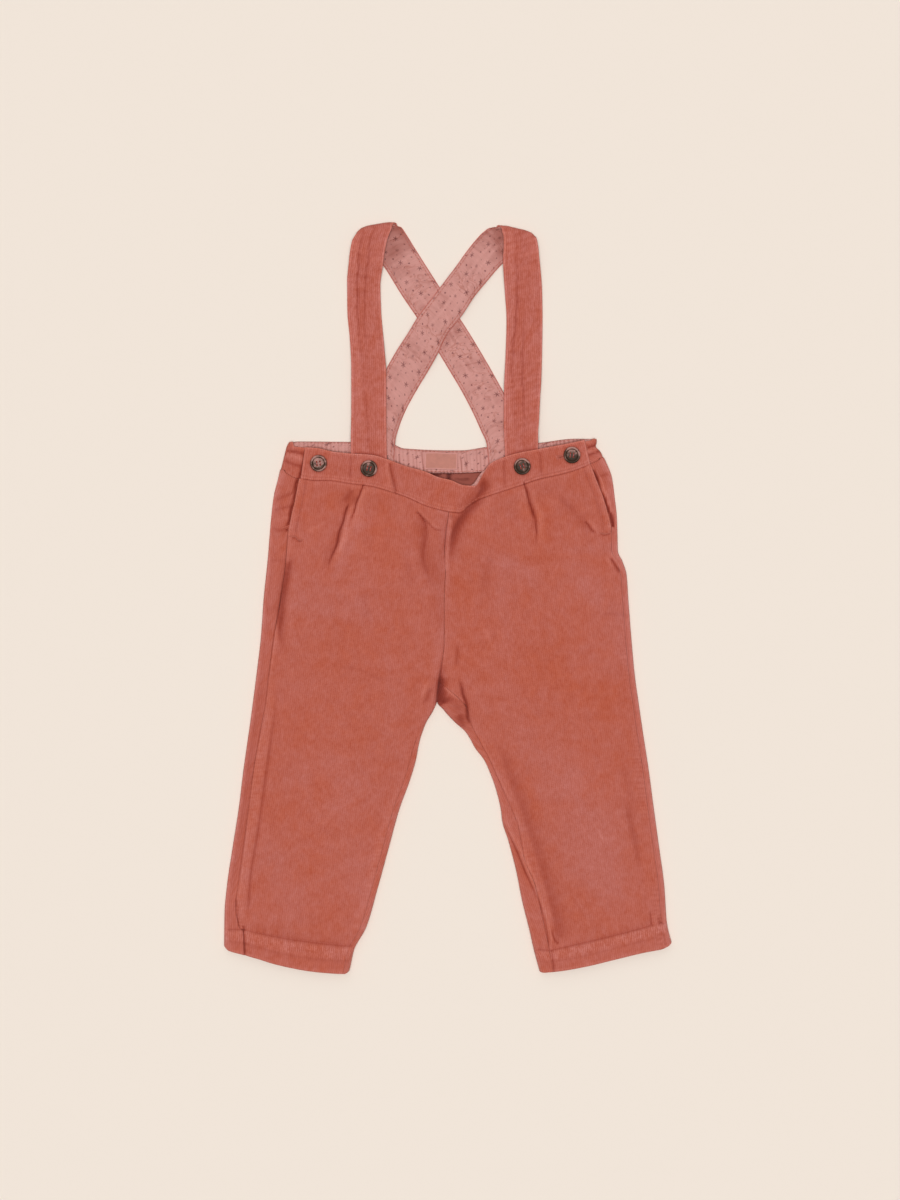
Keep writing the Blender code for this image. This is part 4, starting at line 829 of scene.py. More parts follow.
def fork_half(end, away, floor_z, counts):
    """Points from the floor round an inner fold to the seam, which may lie on the fold itself.

    seam_in is how far the seam lies in from the fold, and rise how far a piece has turned up
    where the two legs still hang together.
    """
    arc_count, wrap_count = counts
    radius = (float(end["height"](*end["fold"])) - floor_z) / 2
    sink = min(max(1.0 - end["seam_in"] / radius, 0.0), 1.0)
    curl = max(end["rise"] * (1.0 - math.asin(sink) / math.pi), CURL_MIN)
    bend = radius * (1.0 + (1.0 / curl - 1.0) * (1.0 - float(ramp(curl, 0.1, 0.5))))
    turn = math.pi * curl
    reach = (bend + CORD / 2) * math.sin(min(turn, math.pi / 2))
    centre = np.array(end["fold"]) - away * reach
    arc = fold_arc(centre, away, bend, turn, floor_z, arc_count)
    laid, share = laid_over(centre, end, wrap_count)
    free = arc[-1] + np.array([*(away * math.cos(turn)), math.sin(turn)]) * FREE_REACH * share
    closed = float(ramp(end["seam_in"], radius, radius + 1.2))
    return np.concatenate([arc, free * (1.0 - closed) + laid * closed])


def section(first, second, floor_z, wall_out, counts, floor_count):
    """One section of a piece that lies on the floor and turns over at both ends."""
    across = np.array(second["fold"]) - np.array(first["fold"])
    along = across / np.linalg.norm(across)
    halves = []
    for end, away, count in ((first, -along, counts[0]), (second, along, counts[1])):
        if "rise" in end:
            halves.append(fork_half(end, away, floor_z, count))
        else:
            halves.append(outer_half(end, away, floor_z, wall_out, count))
    share = np.arange(1, floor_count)[:, None] / floor_count
    floor = halves[0][0] + (halves[1][0] - halves[0][0]) * share
    return np.concatenate([halves[0][::-1], floor, halves[1]])


def front_grid(side, rows, shares):
    """Middle surface of a front piece. rows are y at the outer edge, shares run outward."""
    inner_y = curve(LEG_SECTIONS[side])(rows)
    x0 = inner_seam_x(side, inner_y)
    x1 = outer_seam_x(side, rows)
    x = x0[:, None] + (x1 - x0)[:, None] * shares
    y = inner_y[:, None] + (rows - inner_y)[:, None] * shares
    top = band_low_y(x[0]) - SIDE_SEAM - y[0]
    y = y + ramp(rows, OPENING_END[side] + LAP_START, rows[0])[:, None] * top
    sag = HEM_SAG[side] * (1.0 - ramp(rows, rows[-1], HEM_SAG_START[side]))
    y = y - sag[:, None] * np.sin(math.pi * shares)
    y = y + to_hem_outline(side, x, y, rows)
    y = y + hem_corner(side, x, y, rows)
    return np.stack([x, y, over_z(side, x, y) - fold_drop(side, x, y)], axis=-1)


def to_hem_outline(side, x, y, rows):
    """How far the rows below a hem's stitches move to bring the lowest one to its outline."""
    reach = 1.0 - ramp(rows, rows[-1], HEM_LINE[side] - 1.0)
    return reach[:, None] * (curve(HEM_OUTLINE[side])(x[-1]) - y[-1])


def hem_corner(side, x, y, rows):
    """How far the lowest rows of a leg draw up at its two corners."""
    from_outer = np.maximum(from_outer_fold(side, x, y), 0.0)
    from_inner = np.maximum(OUTWARD[side] * (x - EDGE[side]["inner_fold"](y)), 0.0)
    outer, inner = HEM_CORNER[side]
    near = outer * bell(from_outer, HEM_CORNER_REACH)
    near = near + inner * bell(from_inner, HEM_CORNER_REACH)
    return near * (1.0 - ramp(rows, rows[-1], rows[-1] + 7.0))[:, None]


def fold_drop(side, x, y):
    """How far a front piece bends down where it reaches the inner fold of the leg."""
    radius = (over_z(side, x, y) - CORD / 2) / 2
    from_fold = np.clip(OUTWARD[side] * (x - fold_x(side, y)), 0.0, radius)
    level = radius - np.sqrt(radius ** 2 - (radius - from_fold) ** 2)
    return level * (1.0 - ramp(y, -66.0, -50.0))


def back_grid(side, rows, counts, floor_count):
    """Middle surface of a back piece, from its inner tip over the floor to its outer tip."""
    out = OUTWARD[side]
    end = OPENING_END[side]
    wrap_low = curve(BACK_BAND_WRAPS[side]["low"])
    band_end = FRONT_BAND[0 if side == "left" else -1]
    wrap_lift = BACK_BAND_WRAPS[side]["low"][0][1] - band_end[3]
    grid = []
    for outer_y, inner_y in zip(rows, curve(LEG_SECTIONS[side])(rows)):
        fold_in_y = inner_y + BACK_RISE * float(ramp(inner_y, *BACK_RISE_FADE))
        fold_out_y = outer_y + wrap_lift * float(ramp(outer_y, *WRAP_LIFT))
        lap = UNDERLAP * float(ramp(outer_y, end + LAP_START, end + LAP_FULL))
        seam_out = float(outer_seam_x(side, outer_y)) + out * (SIDE_SEAM - lap)
        seam_in = float(inner_seam_x(side, inner_y)) - out * SIDE_SEAM
        inner = {
            "fold": (float(fold_x(side, fold_in_y)), fold_in_y),
            "tip": (seam_in, inner_y),
            "height": lambda x, y: over_z(side, x, y),
            "rise": float(1.0 - ramp(fold_in_y, *FORK_RISE[side])),
            "seam_in": out * (seam_in - float(fold_x(side, fold_in_y))),
        }
        outer = {
            "fold": (float(EDGE[side]["outer_fold"](fold_out_y)), fold_out_y),
            "tip": (seam_out, outer_y),
            "height": lambda x, y: under_z(side, x, y),
        }
        grid.append(section(inner, outer, CORD / 2, CORD / 2, counts, floor_count))
    grid = np.array(grid)
    wrap_columns = counts[1][1]
    x = grid[0, :, 0]
    target = back_band_low_y(x) - SEAM_CLOSED
    target[-wrap_columns:] = wrap_low(x[-wrap_columns:]) - WRAP_SEAM
    shift = target - grid[0, :, 1]
    fade = ramp(rows, end + LAP_START, rows[0])
    grid[:, :, 1] += fade[:, None] * shift[None, :]
    inner_columns = sum(counts[0]) + 1
    across = np.clip((np.arange(grid.shape[1]) - inner_columns) / floor_count, 0.0, 1.0)
    sag = HEM_SAG[side] * (1.0 - ramp(rows, rows[-1], HEM_SAG_START[side]))
    grid[:, :, 1] -= sag[:, None] * np.sin(math.pi * across)[None, :]
    grid[:, :, 1] += to_hem_outline(side, grid[:, :, 0], grid[:, :, 1], rows)
    behind = HEM_BEHIND * (1.0 - ramp(rows, rows[-1], HEM_SAG_START[side]))
    grid[:, :, 1] += behind[:, None] * np.sqrt(np.sin(math.pi * across))[None, :]
    grid[:, :, 1] += hem_corner(side, grid[:, :, 0], grid[:, :, 1], rows)
    return grid


def notch(side, share):
    """How far the outline of the back band's side draws in between its edges."""
    depth, at, reach = BAND_NOTCH[side]
    return np.array([OUTWARD[side] * depth * math.exp(-((share - at) / reach) ** 2), 0.0])


def back_band_grid(floor_z, wrap_z, inset, edge_inset, wall_out, counts, floor_count, shares):
    """Middle surface of the back band or its facing, from its lower to its top edge."""
    grid = []
    for share in shares:
        ends = []
        for side in ("left", "right"):
            out = OUTWARD[side]
            low = BACK_BAND_WRAPS[side]["low"]
            top = BACK_BAND_WRAPS[side]["top"]
            lower = np.array(low[0]) + np.array([-out * inset, edge_inset])
            upper = np.array(top[0]) + np.array([-out * inset, -edge_inset])
            tip_low = np.array(low[-1]) + np.array([0, edge_inset])
            tip_top = np.array(top[-1]) + np.array([0, -edge_inset])
            ends.append({
                "fold": tuple(lower + (upper - lower) * share - notch(side, share)),
                "tip": tuple(tip_low + (tip_top - tip_low) * share),
                "height": lambda x, y: wrap_z + 0.0 * np.asarray(x, float),
            })
        row = section(ends[0], ends[1], floor_z, wall_out, counts, floor_count)
        x = row[:, 0]
        lower = back_band_low_y(x) + edge_inset
        upper = back_band_top_y(x) - edge_inset
        wrap = counts[0][1]
        for side, part in (("left", slice(0, wrap)), ("right", slice(-wrap, None))):
            lower[part] = curve(BACK_BAND_WRAPS[side]["low"])(x[part]) + edge_inset
            upper[part] = curve(BACK_BAND_WRAPS[side]["top"])(x[part]) - edge_inset
        row[:, 1] = lower + (upper - lower) * share
        grid.append(row)
    return np.array(grid)


def behind_band(x, y):
    """Shade on what lies just behind the front band's top edge, as tone."""
    beyond = np.maximum(y - band_top_y(x), 0.0)
    return -0.8 * bell(beyond, 1.5) * ramp(x, -112, -104) * (1.0 - ramp(x, 100, 106))


def gather_flats(x):
    """1 where a brace or the label holds the gathered facing flat, otherwise 0."""
    flat = np.zeros_like(x)
    for start, stop in GATHER_FLATS:
        after_start = ramp(x, start - GATHER_FADE, start)
        flat = np.maximum(flat, after_start * (1.0 - ramp(x, stop, stop + GATHER_FADE)))
    return flat


def front_band_grid(stations, shares, low_inset, top_inset, peep):
    """Middle surface of the front band or its facing, from its lower seam to its top edge."""
    top_x, top_y, low_x, low_y = (f(stations) for f in column_curves(FRONT_BAND))
    ends = np.clip(1.0 - 2.0 * stations / (len(FRONT_BAND) - 1), -1, 1) ** 9 * top_inset
    peep_x, peep_height, peep_reach = FACING_PEEP
    top_y = top_y - top_inset
    if peep:
        top_y = top_y + peep_height * bell(top_x, peep_reach, peep_x)
    low_y = low_y + low_inset
    shares = np.asarray(shares)[:, None]
    x = low_x + (top_x - low_x) * shares + ends
    y = low_y + (top_y - low_y) * shares
    return np.stack([x, y, waist_z(x)], axis=-1)


def strap_grid(side, per_rung, turn_count, shares):
    """Middle surface of a brace, from its front end over the shoulder to its back end."""
    table = STRAP_RUNGS[side]
    shares = np.asarray(shares)
    bow = 1.0 - np.abs(2.0 * shares - 1.0) ** 3

    def rungs(rows):
        steps = np.linspace(0, len(rows) - 1, per_rung * (len(rows) - 1) + 1)
        return np.stack([f(steps) for f in column_curves(rows)], axis=1)

    def spread(rung, rise):
        ax, ay, bx, by, z = rung
        x = ax + (bx - ax) * shares
        y = ay + (by - ay) * shares + rise * bow
        return np.stack([x, y, np.full(len(shares), z)], axis=1)

    first, last = (np.array(rung) for rung in table["turn"])
    low_z = table["back"][0][4]
    front = rungs(table["front"] + [(*first, low_z + 2 * SHOULDER_RADIUS)])
    back = rungs([(*last, low_z)] + table["back"])
    from_outer = np.abs(shares - table["outer_end"])
    taper = 0.1 + 0.9 * np.sin(0.5 * math.pi * np.clip(from_outer / TURN_TAPER, 0.0, 1.0))
    rows = []
    for k, rung in enumerate(front):
        share = float(ramp(k / (len(front) - 1), BOW_START, 1.0))
        rows.append(spread(rung, SHOULDER_BOW[side] * share))
    for k in range(1, turn_count):
        angle = math.pi * k / turn_count
        ax, ay, bx, by = first + (last - first) * 0.5 * (1.0 - math.cos(angle))
        away = np.array([-(by - ay), bx - ax]) / math.hypot(bx - ax, by - ay)
        z = low_z + SHOULDER_RADIUS * (1.0 + math.cos(angle))
        row = spread((ax, ay, bx, by, z), SHOULDER_BOW[side])
        reach = SHOULDER_RADIUS * taper - TURN_PULL * (1.0 - taper)
        row[:, :2] += away * math.sin(angle) * reach[:, None]
        rows.append(row)
    for k, rung in enumerate(back):
        share = 1.0 - float(ramp(k / (len(back) - 1), 0.0, BOW_END))
        rows.append(spread(rung, SHOULDER_BOW[side] * share))
    return np.array(rows)


def normals(grid):
    """Unit normals of a grid of points."""
    down = np.gradient(grid, axis=0)
    across = np.gradient(grid, axis=1)
    normal = np.cross(across, down)
    return normal / np.linalg.norm(normal, axis=2, keepdims=True)


def run_lengths(grid, axis):
    """Distance along the grid from its first row or column."""
    steps = np.linalg.norm(np.diff(grid, axis=axis), axis=2)
    start = np.zeros_like(np.take(steps, [0], axis=axis))
    return np.concatenate([start, np.cumsum(steps, axis=axis)], axis=axis)


def border_distance(grid, sewn=(0.0, 0.0, 0.0, 0.0), square=SEWN_SQUARE):
    """Distance from each point to the nearest border of its piece.

    sewn is the share in which the first and last row and column are sewn to a neighbour. A sewn
    border counts as further off, by square, so it isn't rounded.
    """
    down = run_lengths(grid, 0)
    across = run_lengths(grid, 1)
    gaps = (down, down[-1:] - down, across, across[:, -1:] - across)
    return np.min([gap + square * share for gap, share in zip(gaps, sewn)], axis=0)


def seam_square(side, rows):
    """How much further off a sewn side seam counts in each row: more in the thicker hem."""
    return SEWN_SQUARE * np.where(rows <= HEM_LINE[side] + 1.2, 4.0, 1.0)[:, None]


def eased(inner, first, last, start_edge, end_edge):
    """Positions from first to last with extra ones close to both ends, for rounded edges."""
    sign = math.copysign(1.0, last - first)
    head = [first + sign * d for d in start_edge]
    tail = [last - sign * d for d in reversed(end_edge)]
    body = np.linspace(first, last, inner)[1:-1]
    past_head = np.abs(body - first) > 1.4 * start_edge[-1]
    past_tail = np.abs(last - body) > 1.4 * end_edge[-1]
    return np.array([first, *head, *body[past_head & past_tail], *tail, last])


def round_steps(radius):
    """Distances from an edge at which its rounding is followed."""
    return [radius * (1.0 - math.cos(a)) for a in (0.55, 1.0, 1.57)]


def mesh_object(name, points, faces, materials, face_materials=None):
    """Link a mesh of points in table millimetres as a named object."""
    mesh = bpy.data.meshes.new(name)
    place = (np.asarray(points) - np.array([MIDDLE[0], MIDDLE[1], 0.0])) * MM
    mesh.from_pydata(place.tolist(), [], np.asarray(faces).tolist())
    for made in materials:
        mesh.materials.append(made)
    if face_materials is not None:
        mesh.polygons.foreach_set("material_index", np.asarray(face_materials, np.int32))
    mesh.shade_smooth()
    mesh.update()
    made = bpy.data.objects.new(name, mesh)
    bpy.context.scene.collection.objects.link(made)
    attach(made, "root")
    return made


def cloth(name, grid, outer, inner, materials, tone, uv, distance=None, nap=1.0, cast=0.0):
    """Closed thin shell on a grid whose normals point to the cloth's right side.

    outer and inner are its reach each way, tone is its painted shade and light, uv is each point's
    place on the cloth in millimetres, across and along the ribs, distance is how far each point
    is from a free border, nap is how rough the pile is, and cast is how pink, which along the
    folds of the legs is painted sheen.
    """
    rows, count = grid.shape[:2]
    normal = normals(grid)
    outer = np.broadcast_to(np.asarray(outer, float), (rows, count))
    inner = np.broadcast_to(np.asarray(inner, float), (rows, count))
    half = (outer + inner) / 2
    middle = (outer - inner) / 2
    if distance is None:
        distance = border_distance(grid)
    t = np.clip(distance / half, 0.0, 1.0)
    bulge = np.maximum(np.sqrt(1.0 - (1.0 - t) ** 2), LEAST_BULGE)
    top = grid + normal * (middle + half * bulge)[..., None]
    base = grid + normal * (middle - half * bulge)[..., None]
    index = np.arange(rows * count).reshape(rows, count)
    a, b, c, d = index[:-1, :-1], index[:-1, 1:], index[1:, 1:], index[1:, :-1]
    upper = np.stack([a, b, c, d], axis=-1).reshape(-1, 4)
    lower = np.stack([a, d, c, b], axis=-1).reshape(-1, 4) + rows * count
    loop = np.concatenate([index[:, 0], index[-1, 1:], index[-2::-1, -1], index[0, -2:0:-1]])
    after = np.roll(loop, -1)
    side = np.stack([loop, after, after + rows * count, loop + rows * count], axis=-1)
    faces = np.concatenate([upper, lower, side])
    kinds = np.zeros(len(faces), np.int32)
    kinds[len(upper):len(upper) + len(lower)] = len(materials) - 1
    points = np.concatenate([top.reshape(-1, 3), base.reshape(-1, 3)])
    points[:, 2] = np.maximum(points[:, 2], LYING)
    made = mesh_object(name, points, faces, materials, kinds)
    mesh = made.data
    for key, value in (("tone", tone), ("edge", distance), ("nap", nap), ("cast", cast)):
        value = np.broadcast_to(np.asarray(value, float), (rows, count)).ravel()
        layer = mesh.attributes.new(key, "FLOAT", "POINT")
        layer.data.foreach_set("value", np.tile(value, 2).astype(np.float32))
    place = np.tile(uv.reshape(-1, 2), (2, 1)) * MM
    layer = mesh.uv_layers.new(name="cloth")
    corner = np.empty(len(mesh.loops), np.int32)
    mesh.loops.foreach_get("vertex_index", corner)
    layer.data.foreach_set("uv", place[corner].astype(np.float32).ravel())
    return made, top, normal


def flipped(*grids):
    """Grids with their columns in the opposite order."""
    return [grid[:, ::-1] for grid in grids]


class Nodes:
    """Short way to write a material's nodes."""

    def __init__(self, name):
        self.material = bpy.data.materials.new(name)
        self.material.use_nodes = True
        self.tree = self.material.node_tree
        self.shader = self.tree.nodes["Principled BSDF"]

    def node(self, kind, values=(), **settings):
        made = self.tree.nodes.new(kind)
        for key, value in settings.items():
            setattr(made, key, value)
        for key, value in dict(values).items():
            self.feed(made.inputs[key], value)
        return made

    def feed(self, socket, value):
        if isinstance(value, bpy.types.NodeSocket):
            self.tree.links.new(value, socket)
        elif hasattr(socket.default_value, "__len__") and not hasattr(value, "__len__"):
            socket.default_value = (value,) * len(socket.default_value)
        elif hasattr(value, "__len__") and len(value) == 3 and len(socket.default_value) == 4:
            socket.default_value = (*value, 1.0)
        else:
            socket.default_value = value

    def math(self, operation, first, second=0.0, third=0.0, clamp=False):
        values = {0: first, 1: second, 2: third}
        return self.node("ShaderNodeMath", values, operation=operation, use_clamp=clamp).outputs[0]

    def vector(self, operation, *values, output=0):
        made = self.node("ShaderNodeVectorMath", dict(enumerate(values)), operation=operation)
        return made.outputs[output]

    def times(self, first, second):
        """Product of two colours or places."""
        return self.vector("MULTIPLY", first, second)

    def add(self, base, value, middle, share, clamp=False):
        """base, and a share of how far value is from middle."""
        away = self.math("SUBTRACT", value, middle)
        return self.math("MULTIPLY_ADD", away, share, base, clamp=clamp)

    def parts(self, vector):
        return self.node("ShaderNodeSeparateXYZ", {0: vector}).outputs

    def mix(self, share, first, second):
        made = self.node("ShaderNodeMix", data_type="RGBA")
        for key, value in ((0, share), (6, first), (7, second)):
            self.feed(made.inputs[key], value)
        return made.outputs[2]

    def noise(self, vector, scale, detail=2.0, roughness=0.5, distortion=0.0, output=0):
        values = {"Vector": vector, "Scale": scale, "Detail": detail, "Roughness": roughness,
                  "Distortion": distortion}
        return self.node("ShaderNodeTexNoise", values).outputs[output]

    def attribute(self, name):
        return self.node("ShaderNodeAttribute", attribute_name=name).outputs["Fac"]

    def cloth_uv(self):
        return self.node("ShaderNodeUVMap", uv_map="cloth").outputs[0]

    def object_place(self):
        return self.node("ShaderNodeTexCoord").outputs["Object"]

    def spread(self, value, low, high, to_low=0.0, to_high=1.0):
        values = {0: value, 1: low, 2: high, 3: to_low, 4: to_high}
        return self.node("ShaderNodeMapRange", values, interpolation_type="SMOOTHSTEP").outputs[0]

    def near(self, value, middle, low, high):
        """1 where value is within low of middle, and 0 beyond high."""
        away = self.math("ABSOLUTE", self.math("SUBTRACT", value, middle))
        return self.spread(away, low, high, 1.0, 0.0)

    def weave(self, uv, pitch):
        """Chequer of the threads of a plain weave."""
        parts = self.parts(uv)
        turn = 2 * math.pi / pitch
        threads = [self.math("SINE", self.math("MULTIPLY", parts[k], turn)) for k in (0, 1)]
        return self.math("MULTIPLY", *threads)

    def colours(self, value, table):
        """Colour at value in a table of (position, colour)."""
        made = self.node("ShaderNodeValToRGB", {0: value})
        stops = made.color_ramp.elements
        for stop, (_, colour) in zip(stops, (table[0], table[-1])):
            stop.color = (*colour, 1)
        for position, colour in table[1:-1]:
            stops.new(position).color = (*colour, 1)
        return made.outputs[0]

    def toned(self, colour, table):
        """Colour multiplied by the colour of the cloth's tone: its painted shade and light."""
        level = self.math("MULTIPLY_ADD", self.attribute("tone"), 0.5, 0.5, clamp=True)
        return self.times(colour, self.colours(level, table))

    def bump(self, height, distance, strength=1.0, normal=None):
        values = {"Height": height, "Distance": distance, "Strength": strength}
        if normal is not None:
            values["Normal"] = normal
        return self.node("ShaderNodeBump", values).outputs[0]

    def finish(self, colour, normal, roughness, specular, sheen=()):
        values = {"Base Color": colour, "Normal": normal, "Roughness": roughness,
                  "Specular IOR Level": specular, **dict(sheen)}
        for key, value in values.items():
            self.feed(self.shader.inputs[key], value)
        return self.material


def scaled(share, colour):
    """Colour times share, no brighter than white."""
    return [min(share * part, 1.0) for part in colour]


# Pitch of the cord's ribs, and of the threads of the other cloths
RIB_PITCH = 1.5
CORD_BACK_WEAVE = 0.6
PRINT_WEAVE = 0.52
LABEL_TWILL = 0.7
# Radius of the groove and of the rim of a button, as the light catches them
GROOVE_RADIUS = 4.5
RIM_RADIUS = 5.4
CORD_SHEEN = {"Sheen Weight": 0.10, "Sheen Roughness": 0.5, "Sheen Tint": (1.0, 0.72, 0.66)}
PRINT_SHEEN = {"Sheen Weight": 0.05}


def cord_material():
    """Needlecord: fine ribs, a mottled nap that lies both ways, random worn patches, and painted
    shade and light from its tone.
    """
    n = Nodes("needlecord")
    uv = n.cloth_uv()
    wander = n.math("SUBTRACT", n.noise(uv, 110, 2), 0.5)
    across = n.math("ADD", n.parts(uv)[0], n.math("MULTIPLY", wander, 0.9 * MM))
    phase = n.math("MULTIPLY", across, 2 * math.pi / (RIB_PITCH * MM))
    rib = n.math("POWER", n.math("MULTIPLY_ADD", n.math("COSINE", phase), 0.5, 0.5), 0.7)
    streak = n.noise(n.times(uv, (1.0, 0.45, 1)), 560, 3, 0.65)
    blotch = n.noise(n.times(uv, (1.0, 0.8, 1)), 150, 4, 0.6, 0.3)
    pile = n.noise(uv, 1300, 2, 0.6)
    fine = n.add(0.0, streak, 0.5, 1.25)
    fine = n.add(fine, blotch, 0.5, 0.85)
    fine = n.add(fine, pile, 0.5, 0.9)
    fine = n.add(fine, rib, 0.6, 0.32)
    level = n.math("MULTIPLY_ADD", fine, n.attribute("nap"), 0.5, clamp=True)
    nap = n.mix(level, NAP_DARK, NAP_LIGHT)
    cloud = n.noise(n.times(uv, (1.0, 0.8, 1)), 38, 3, 0.55, 0.6)
    patch = n.noise(n.times(uv, (1.0, 0.9, 1)), 130, 2, 0.5, 0.4)
    pinkness = n.add(n.add(0.5, cloud, 0.5, 1.1), patch, 0.5, 0.9)
    pinkness = n.math("MULTIPLY_ADD", n.attribute("cast"), 0.42, pinkness, clamp=True)
    hue = n.mix(pinkness, CAST_ORANGE, CAST_PINK)
    # The tone attribute paints shade and light; the cast also carries painted sheen along leg folds
    colour = n.toned(n.times(nap, hue), TONES)
    worn = n.add(0.5, n.noise(uv, 16, 2, 0.5, 0.4), 0.5, 1.2, clamp=True)
    colour = n.times(colour, n.mix(worn, WORN_DARK, WORN_LIGHT))
    colour = n.times(colour, CORD_MID)
    height = n.math("MULTIPLY_ADD", pile, 0.35, rib)
    height = n.math("MULTIPLY_ADD", streak, 0.5, height)
    return n.finish(colour, n.bump(height, 0.00014, 0.8), 0.92, 0.12, CORD_SHEEN)


def cord_back_material():
    """Wrong side of the needlecord: a plain fine weave."""
    n = Nodes("needlecord_back")
    uv = n.cloth_uv()
    checker = n.weave(uv, CORD_BACK_WEAVE * MM)
    cloud = n.math("MULTIPLY_ADD", n.noise(uv, 60, 4, 0.6), 0.5, 0.1)
    level = n.math("MULTIPLY_ADD", checker, 0.18, cloud, clamp=True)
    colour = n.mix(level, CORD_BACK_DARK, CORD_BACK_LIGHT)
    # Painted shade from the tone attribute darkens the wrong side
    shade = n.spread(n.attribute("tone"), -0.8, 0.1)
    colour = n.times(colour, n.mix(shade, (0.42, 0.30, 0.30), WHITE))
    return n.finish(colour, n.bump(checker, 0.00012), 0.9, 0.15)


# Repeat of the print: its size, its stars as x, y, reach, turn, strength, and its dots as x, y,
# radius, strength
REPEAT = 28.0
STARS = [
    (3.5, 4.0, 2.6, 0.2, 1.0), (17.0, 9.5, 2.4, 0.5, 0.9), (7.5, 17.5, 2.7, 0.0, 1.0),
    (21.5, 22.5, 2.4, 0.35, 0.95), (12.5, 25.5, 1.6, 0.1, 0.6), (25.0, 12.5, 1.7, 0.4, 0.6),
]
DOTS = [
    (9.5, 2.5, 0.65, 0.8), (14.0, 4.8, 0.45, 0.5), (21.5, 3.2, 0.6, 0.7), (25.8, 6.4, 0.45, 0.5),
    (10.8, 8.3, 0.5, 0.6), (5.2, 10.4, 0.6, 0.75), (22.4, 15.8, 0.5, 0.6), (13.2, 13.2, 0.6, 0.8),
    (1.6, 14.6, 0.45, 0.5), (17.8, 17.4, 0.65, 0.85), (13.0, 20.4, 0.5, 0.6),
    (2.4, 21.4, 0.55, 0.7), (26.2, 18.8, 0.5, 0.6), (17.2, 24.4, 0.45, 0.5),
    (6.4, 24.6, 0.5, 0.65), (26.4, 25.4, 0.6, 0.8), (22.0, 27.0, 0.45, 0.5),
]


def print_material():
    """Printed cotton: plain weave with small dark stars and dots, painted shade along thin fold
    lines, and painted shade and light from its tone.
    """
    n = Nodes("printed_cotton")
    uv = n.cloth_uv()
    shaky = n.noise(uv, 90, output="Color")
    sway = n.vector("SUBTRACT", shaky, (0.5, 0.5, 0.5))
    moved = n.vector("MULTIPLY_ADD", sway, (0.0035, 0.0035, 0), uv)
    half = REPEAT / 2 * MM

    def around(x, y):
        """Offset from the nearest copy of a motif, and its length."""
        gap = n.vector("SUBTRACT", moved, (x * MM, y * MM, 0))
        near = n.vector("WRAP", gap, (half, half, 1), (-half, -half, -1))
        return near, n.vector("LENGTH", near, output="Value")

    motifs = []
    for x, y, reach, turn, strength in STARS:
        near, radius = around(x, y)
        east, north = n.parts(near)[:2]
        angle = n.math("ADD", n.math("ARCTAN2", north, east), turn + 7.0)
        from_arm = n.math("PINGPONG", angle, math.pi / 6)
        beside = n.math("MULTIPLY", radius, n.math("SINE", from_arm))
        arm = n.math("MULTIPLY", n.spread(beside, 0.00014, 0.00044, 1.0, 0.0),
                     n.spread(radius, reach * 0.55 * MM, reach * MM, 0.8, 0.0))
        heart = n.spread(radius, 0.0003, 0.001, 1.0, 0.0)
        motifs.append(n.math("MULTIPLY", n.math("MAXIMUM", arm, heart), strength))
    for x, y, size, strength in DOTS:
        _, radius = around(x, y)
        motifs.append(n.spread(radius, (size - 0.2) * MM, (size + 0.25) * MM, strength, 0.0))
    printed = motifs[0]
    for motif in motifs[1:]:
        printed = n.math("MAXIMUM", printed, motif)
    # Thin dark lines along small folds are painted shade; the nap attribute sets how strongly they
    # show
    folds = n.noise(n.times(uv, (0.45, 1.0, 1)), 150, 2, 0.5, 0.8)
    patches = n.spread(n.noise(uv, 45, 2), 0.42, 0.62)
    line = n.math("MULTIPLY", n.near(folds, 0.5, 0.0, 0.035), patches)
    line = n.math("MULTIPLY", line, n.attribute("nap"))
    wear = n.noise(uv, 700, 3, 0.6)
    printed = n.math("MULTIPLY", printed, n.spread(wear, 0.25, 0.6, 0.55, 1.0))
    checker = n.weave(uv, PRINT_WEAVE * MM)
    cloud = n.noise(uv, 70, 4, 0.6)
    slub = n.noise(n.times(uv, (0.2, 1.0, 1)), 900, 3, 0.6)
    level = n.add(n.add(0.5, cloud, 0.5, 0.6), slub, 0.5, 0.9)
    level = n.math("MULTIPLY_ADD", checker, 0.10, level, clamp=True)
    ground = n.mix(level, scaled(0.84, PRINT_GROUND), scaled(1.12, PRINT_GROUND))
    colour = n.toned(n.mix(printed, ground, PRINT_MOTIF), PRINT_TONES)
    colour = n.times(colour, n.mix(line, (1.02, 1.03, 1.03), (0.84, 0.72, 0.67)))
    folded = n.bump(folds, 0.0012, 0.5)
    return n.finish(colour, n.bump(checker, 0.0001, 0.7, folded), 0.88, 0.15, PRINT_SHEEN)


def label_material():
    """Bare woven tape."""
    n = Nodes("label_tape")
    uv = n.cloth_uv()
    slant = n.math("ADD", *n.parts(uv)[:2])
    twill = n.math("SINE", n.math("MULTIPLY", slant, 2 * math.pi / (LABEL_TWILL * MM)))
    cloud = n.math("MULTIPLY_ADD", n.noise(uv, 220, 4, 0.6), 0.9, 0.05)
    level = n.math("MULTIPLY_ADD", twill, 0.14, cloud, clamp=True)
    colour = n.mix(level, scaled(0.8, LABEL_GROUND), scaled(1.15, LABEL_GROUND))
    rim = n.spread(n.attribute("edge"), 0.6, 1.2, 0.9, 0.0)
    colour = n.mix(rim, colour, scaled(1.2, PRINT_GROUND))
    return n.finish(colour, n.bump(twill, 0.0001), 0.8, 0.2)


def thread_material(name, colour, dark):
    """Sewing thread: two plies twisted together."""
    n = Nodes(name)
    place = n.object_place()
    mixed = n.mix(n.noise(place, 900, 2, 0.6), scaled(dark, colour), colour)
    return n.finish(mixed, n.bump(n.noise(place, 3500, 1), 0.0001), 0.85, 0.08)


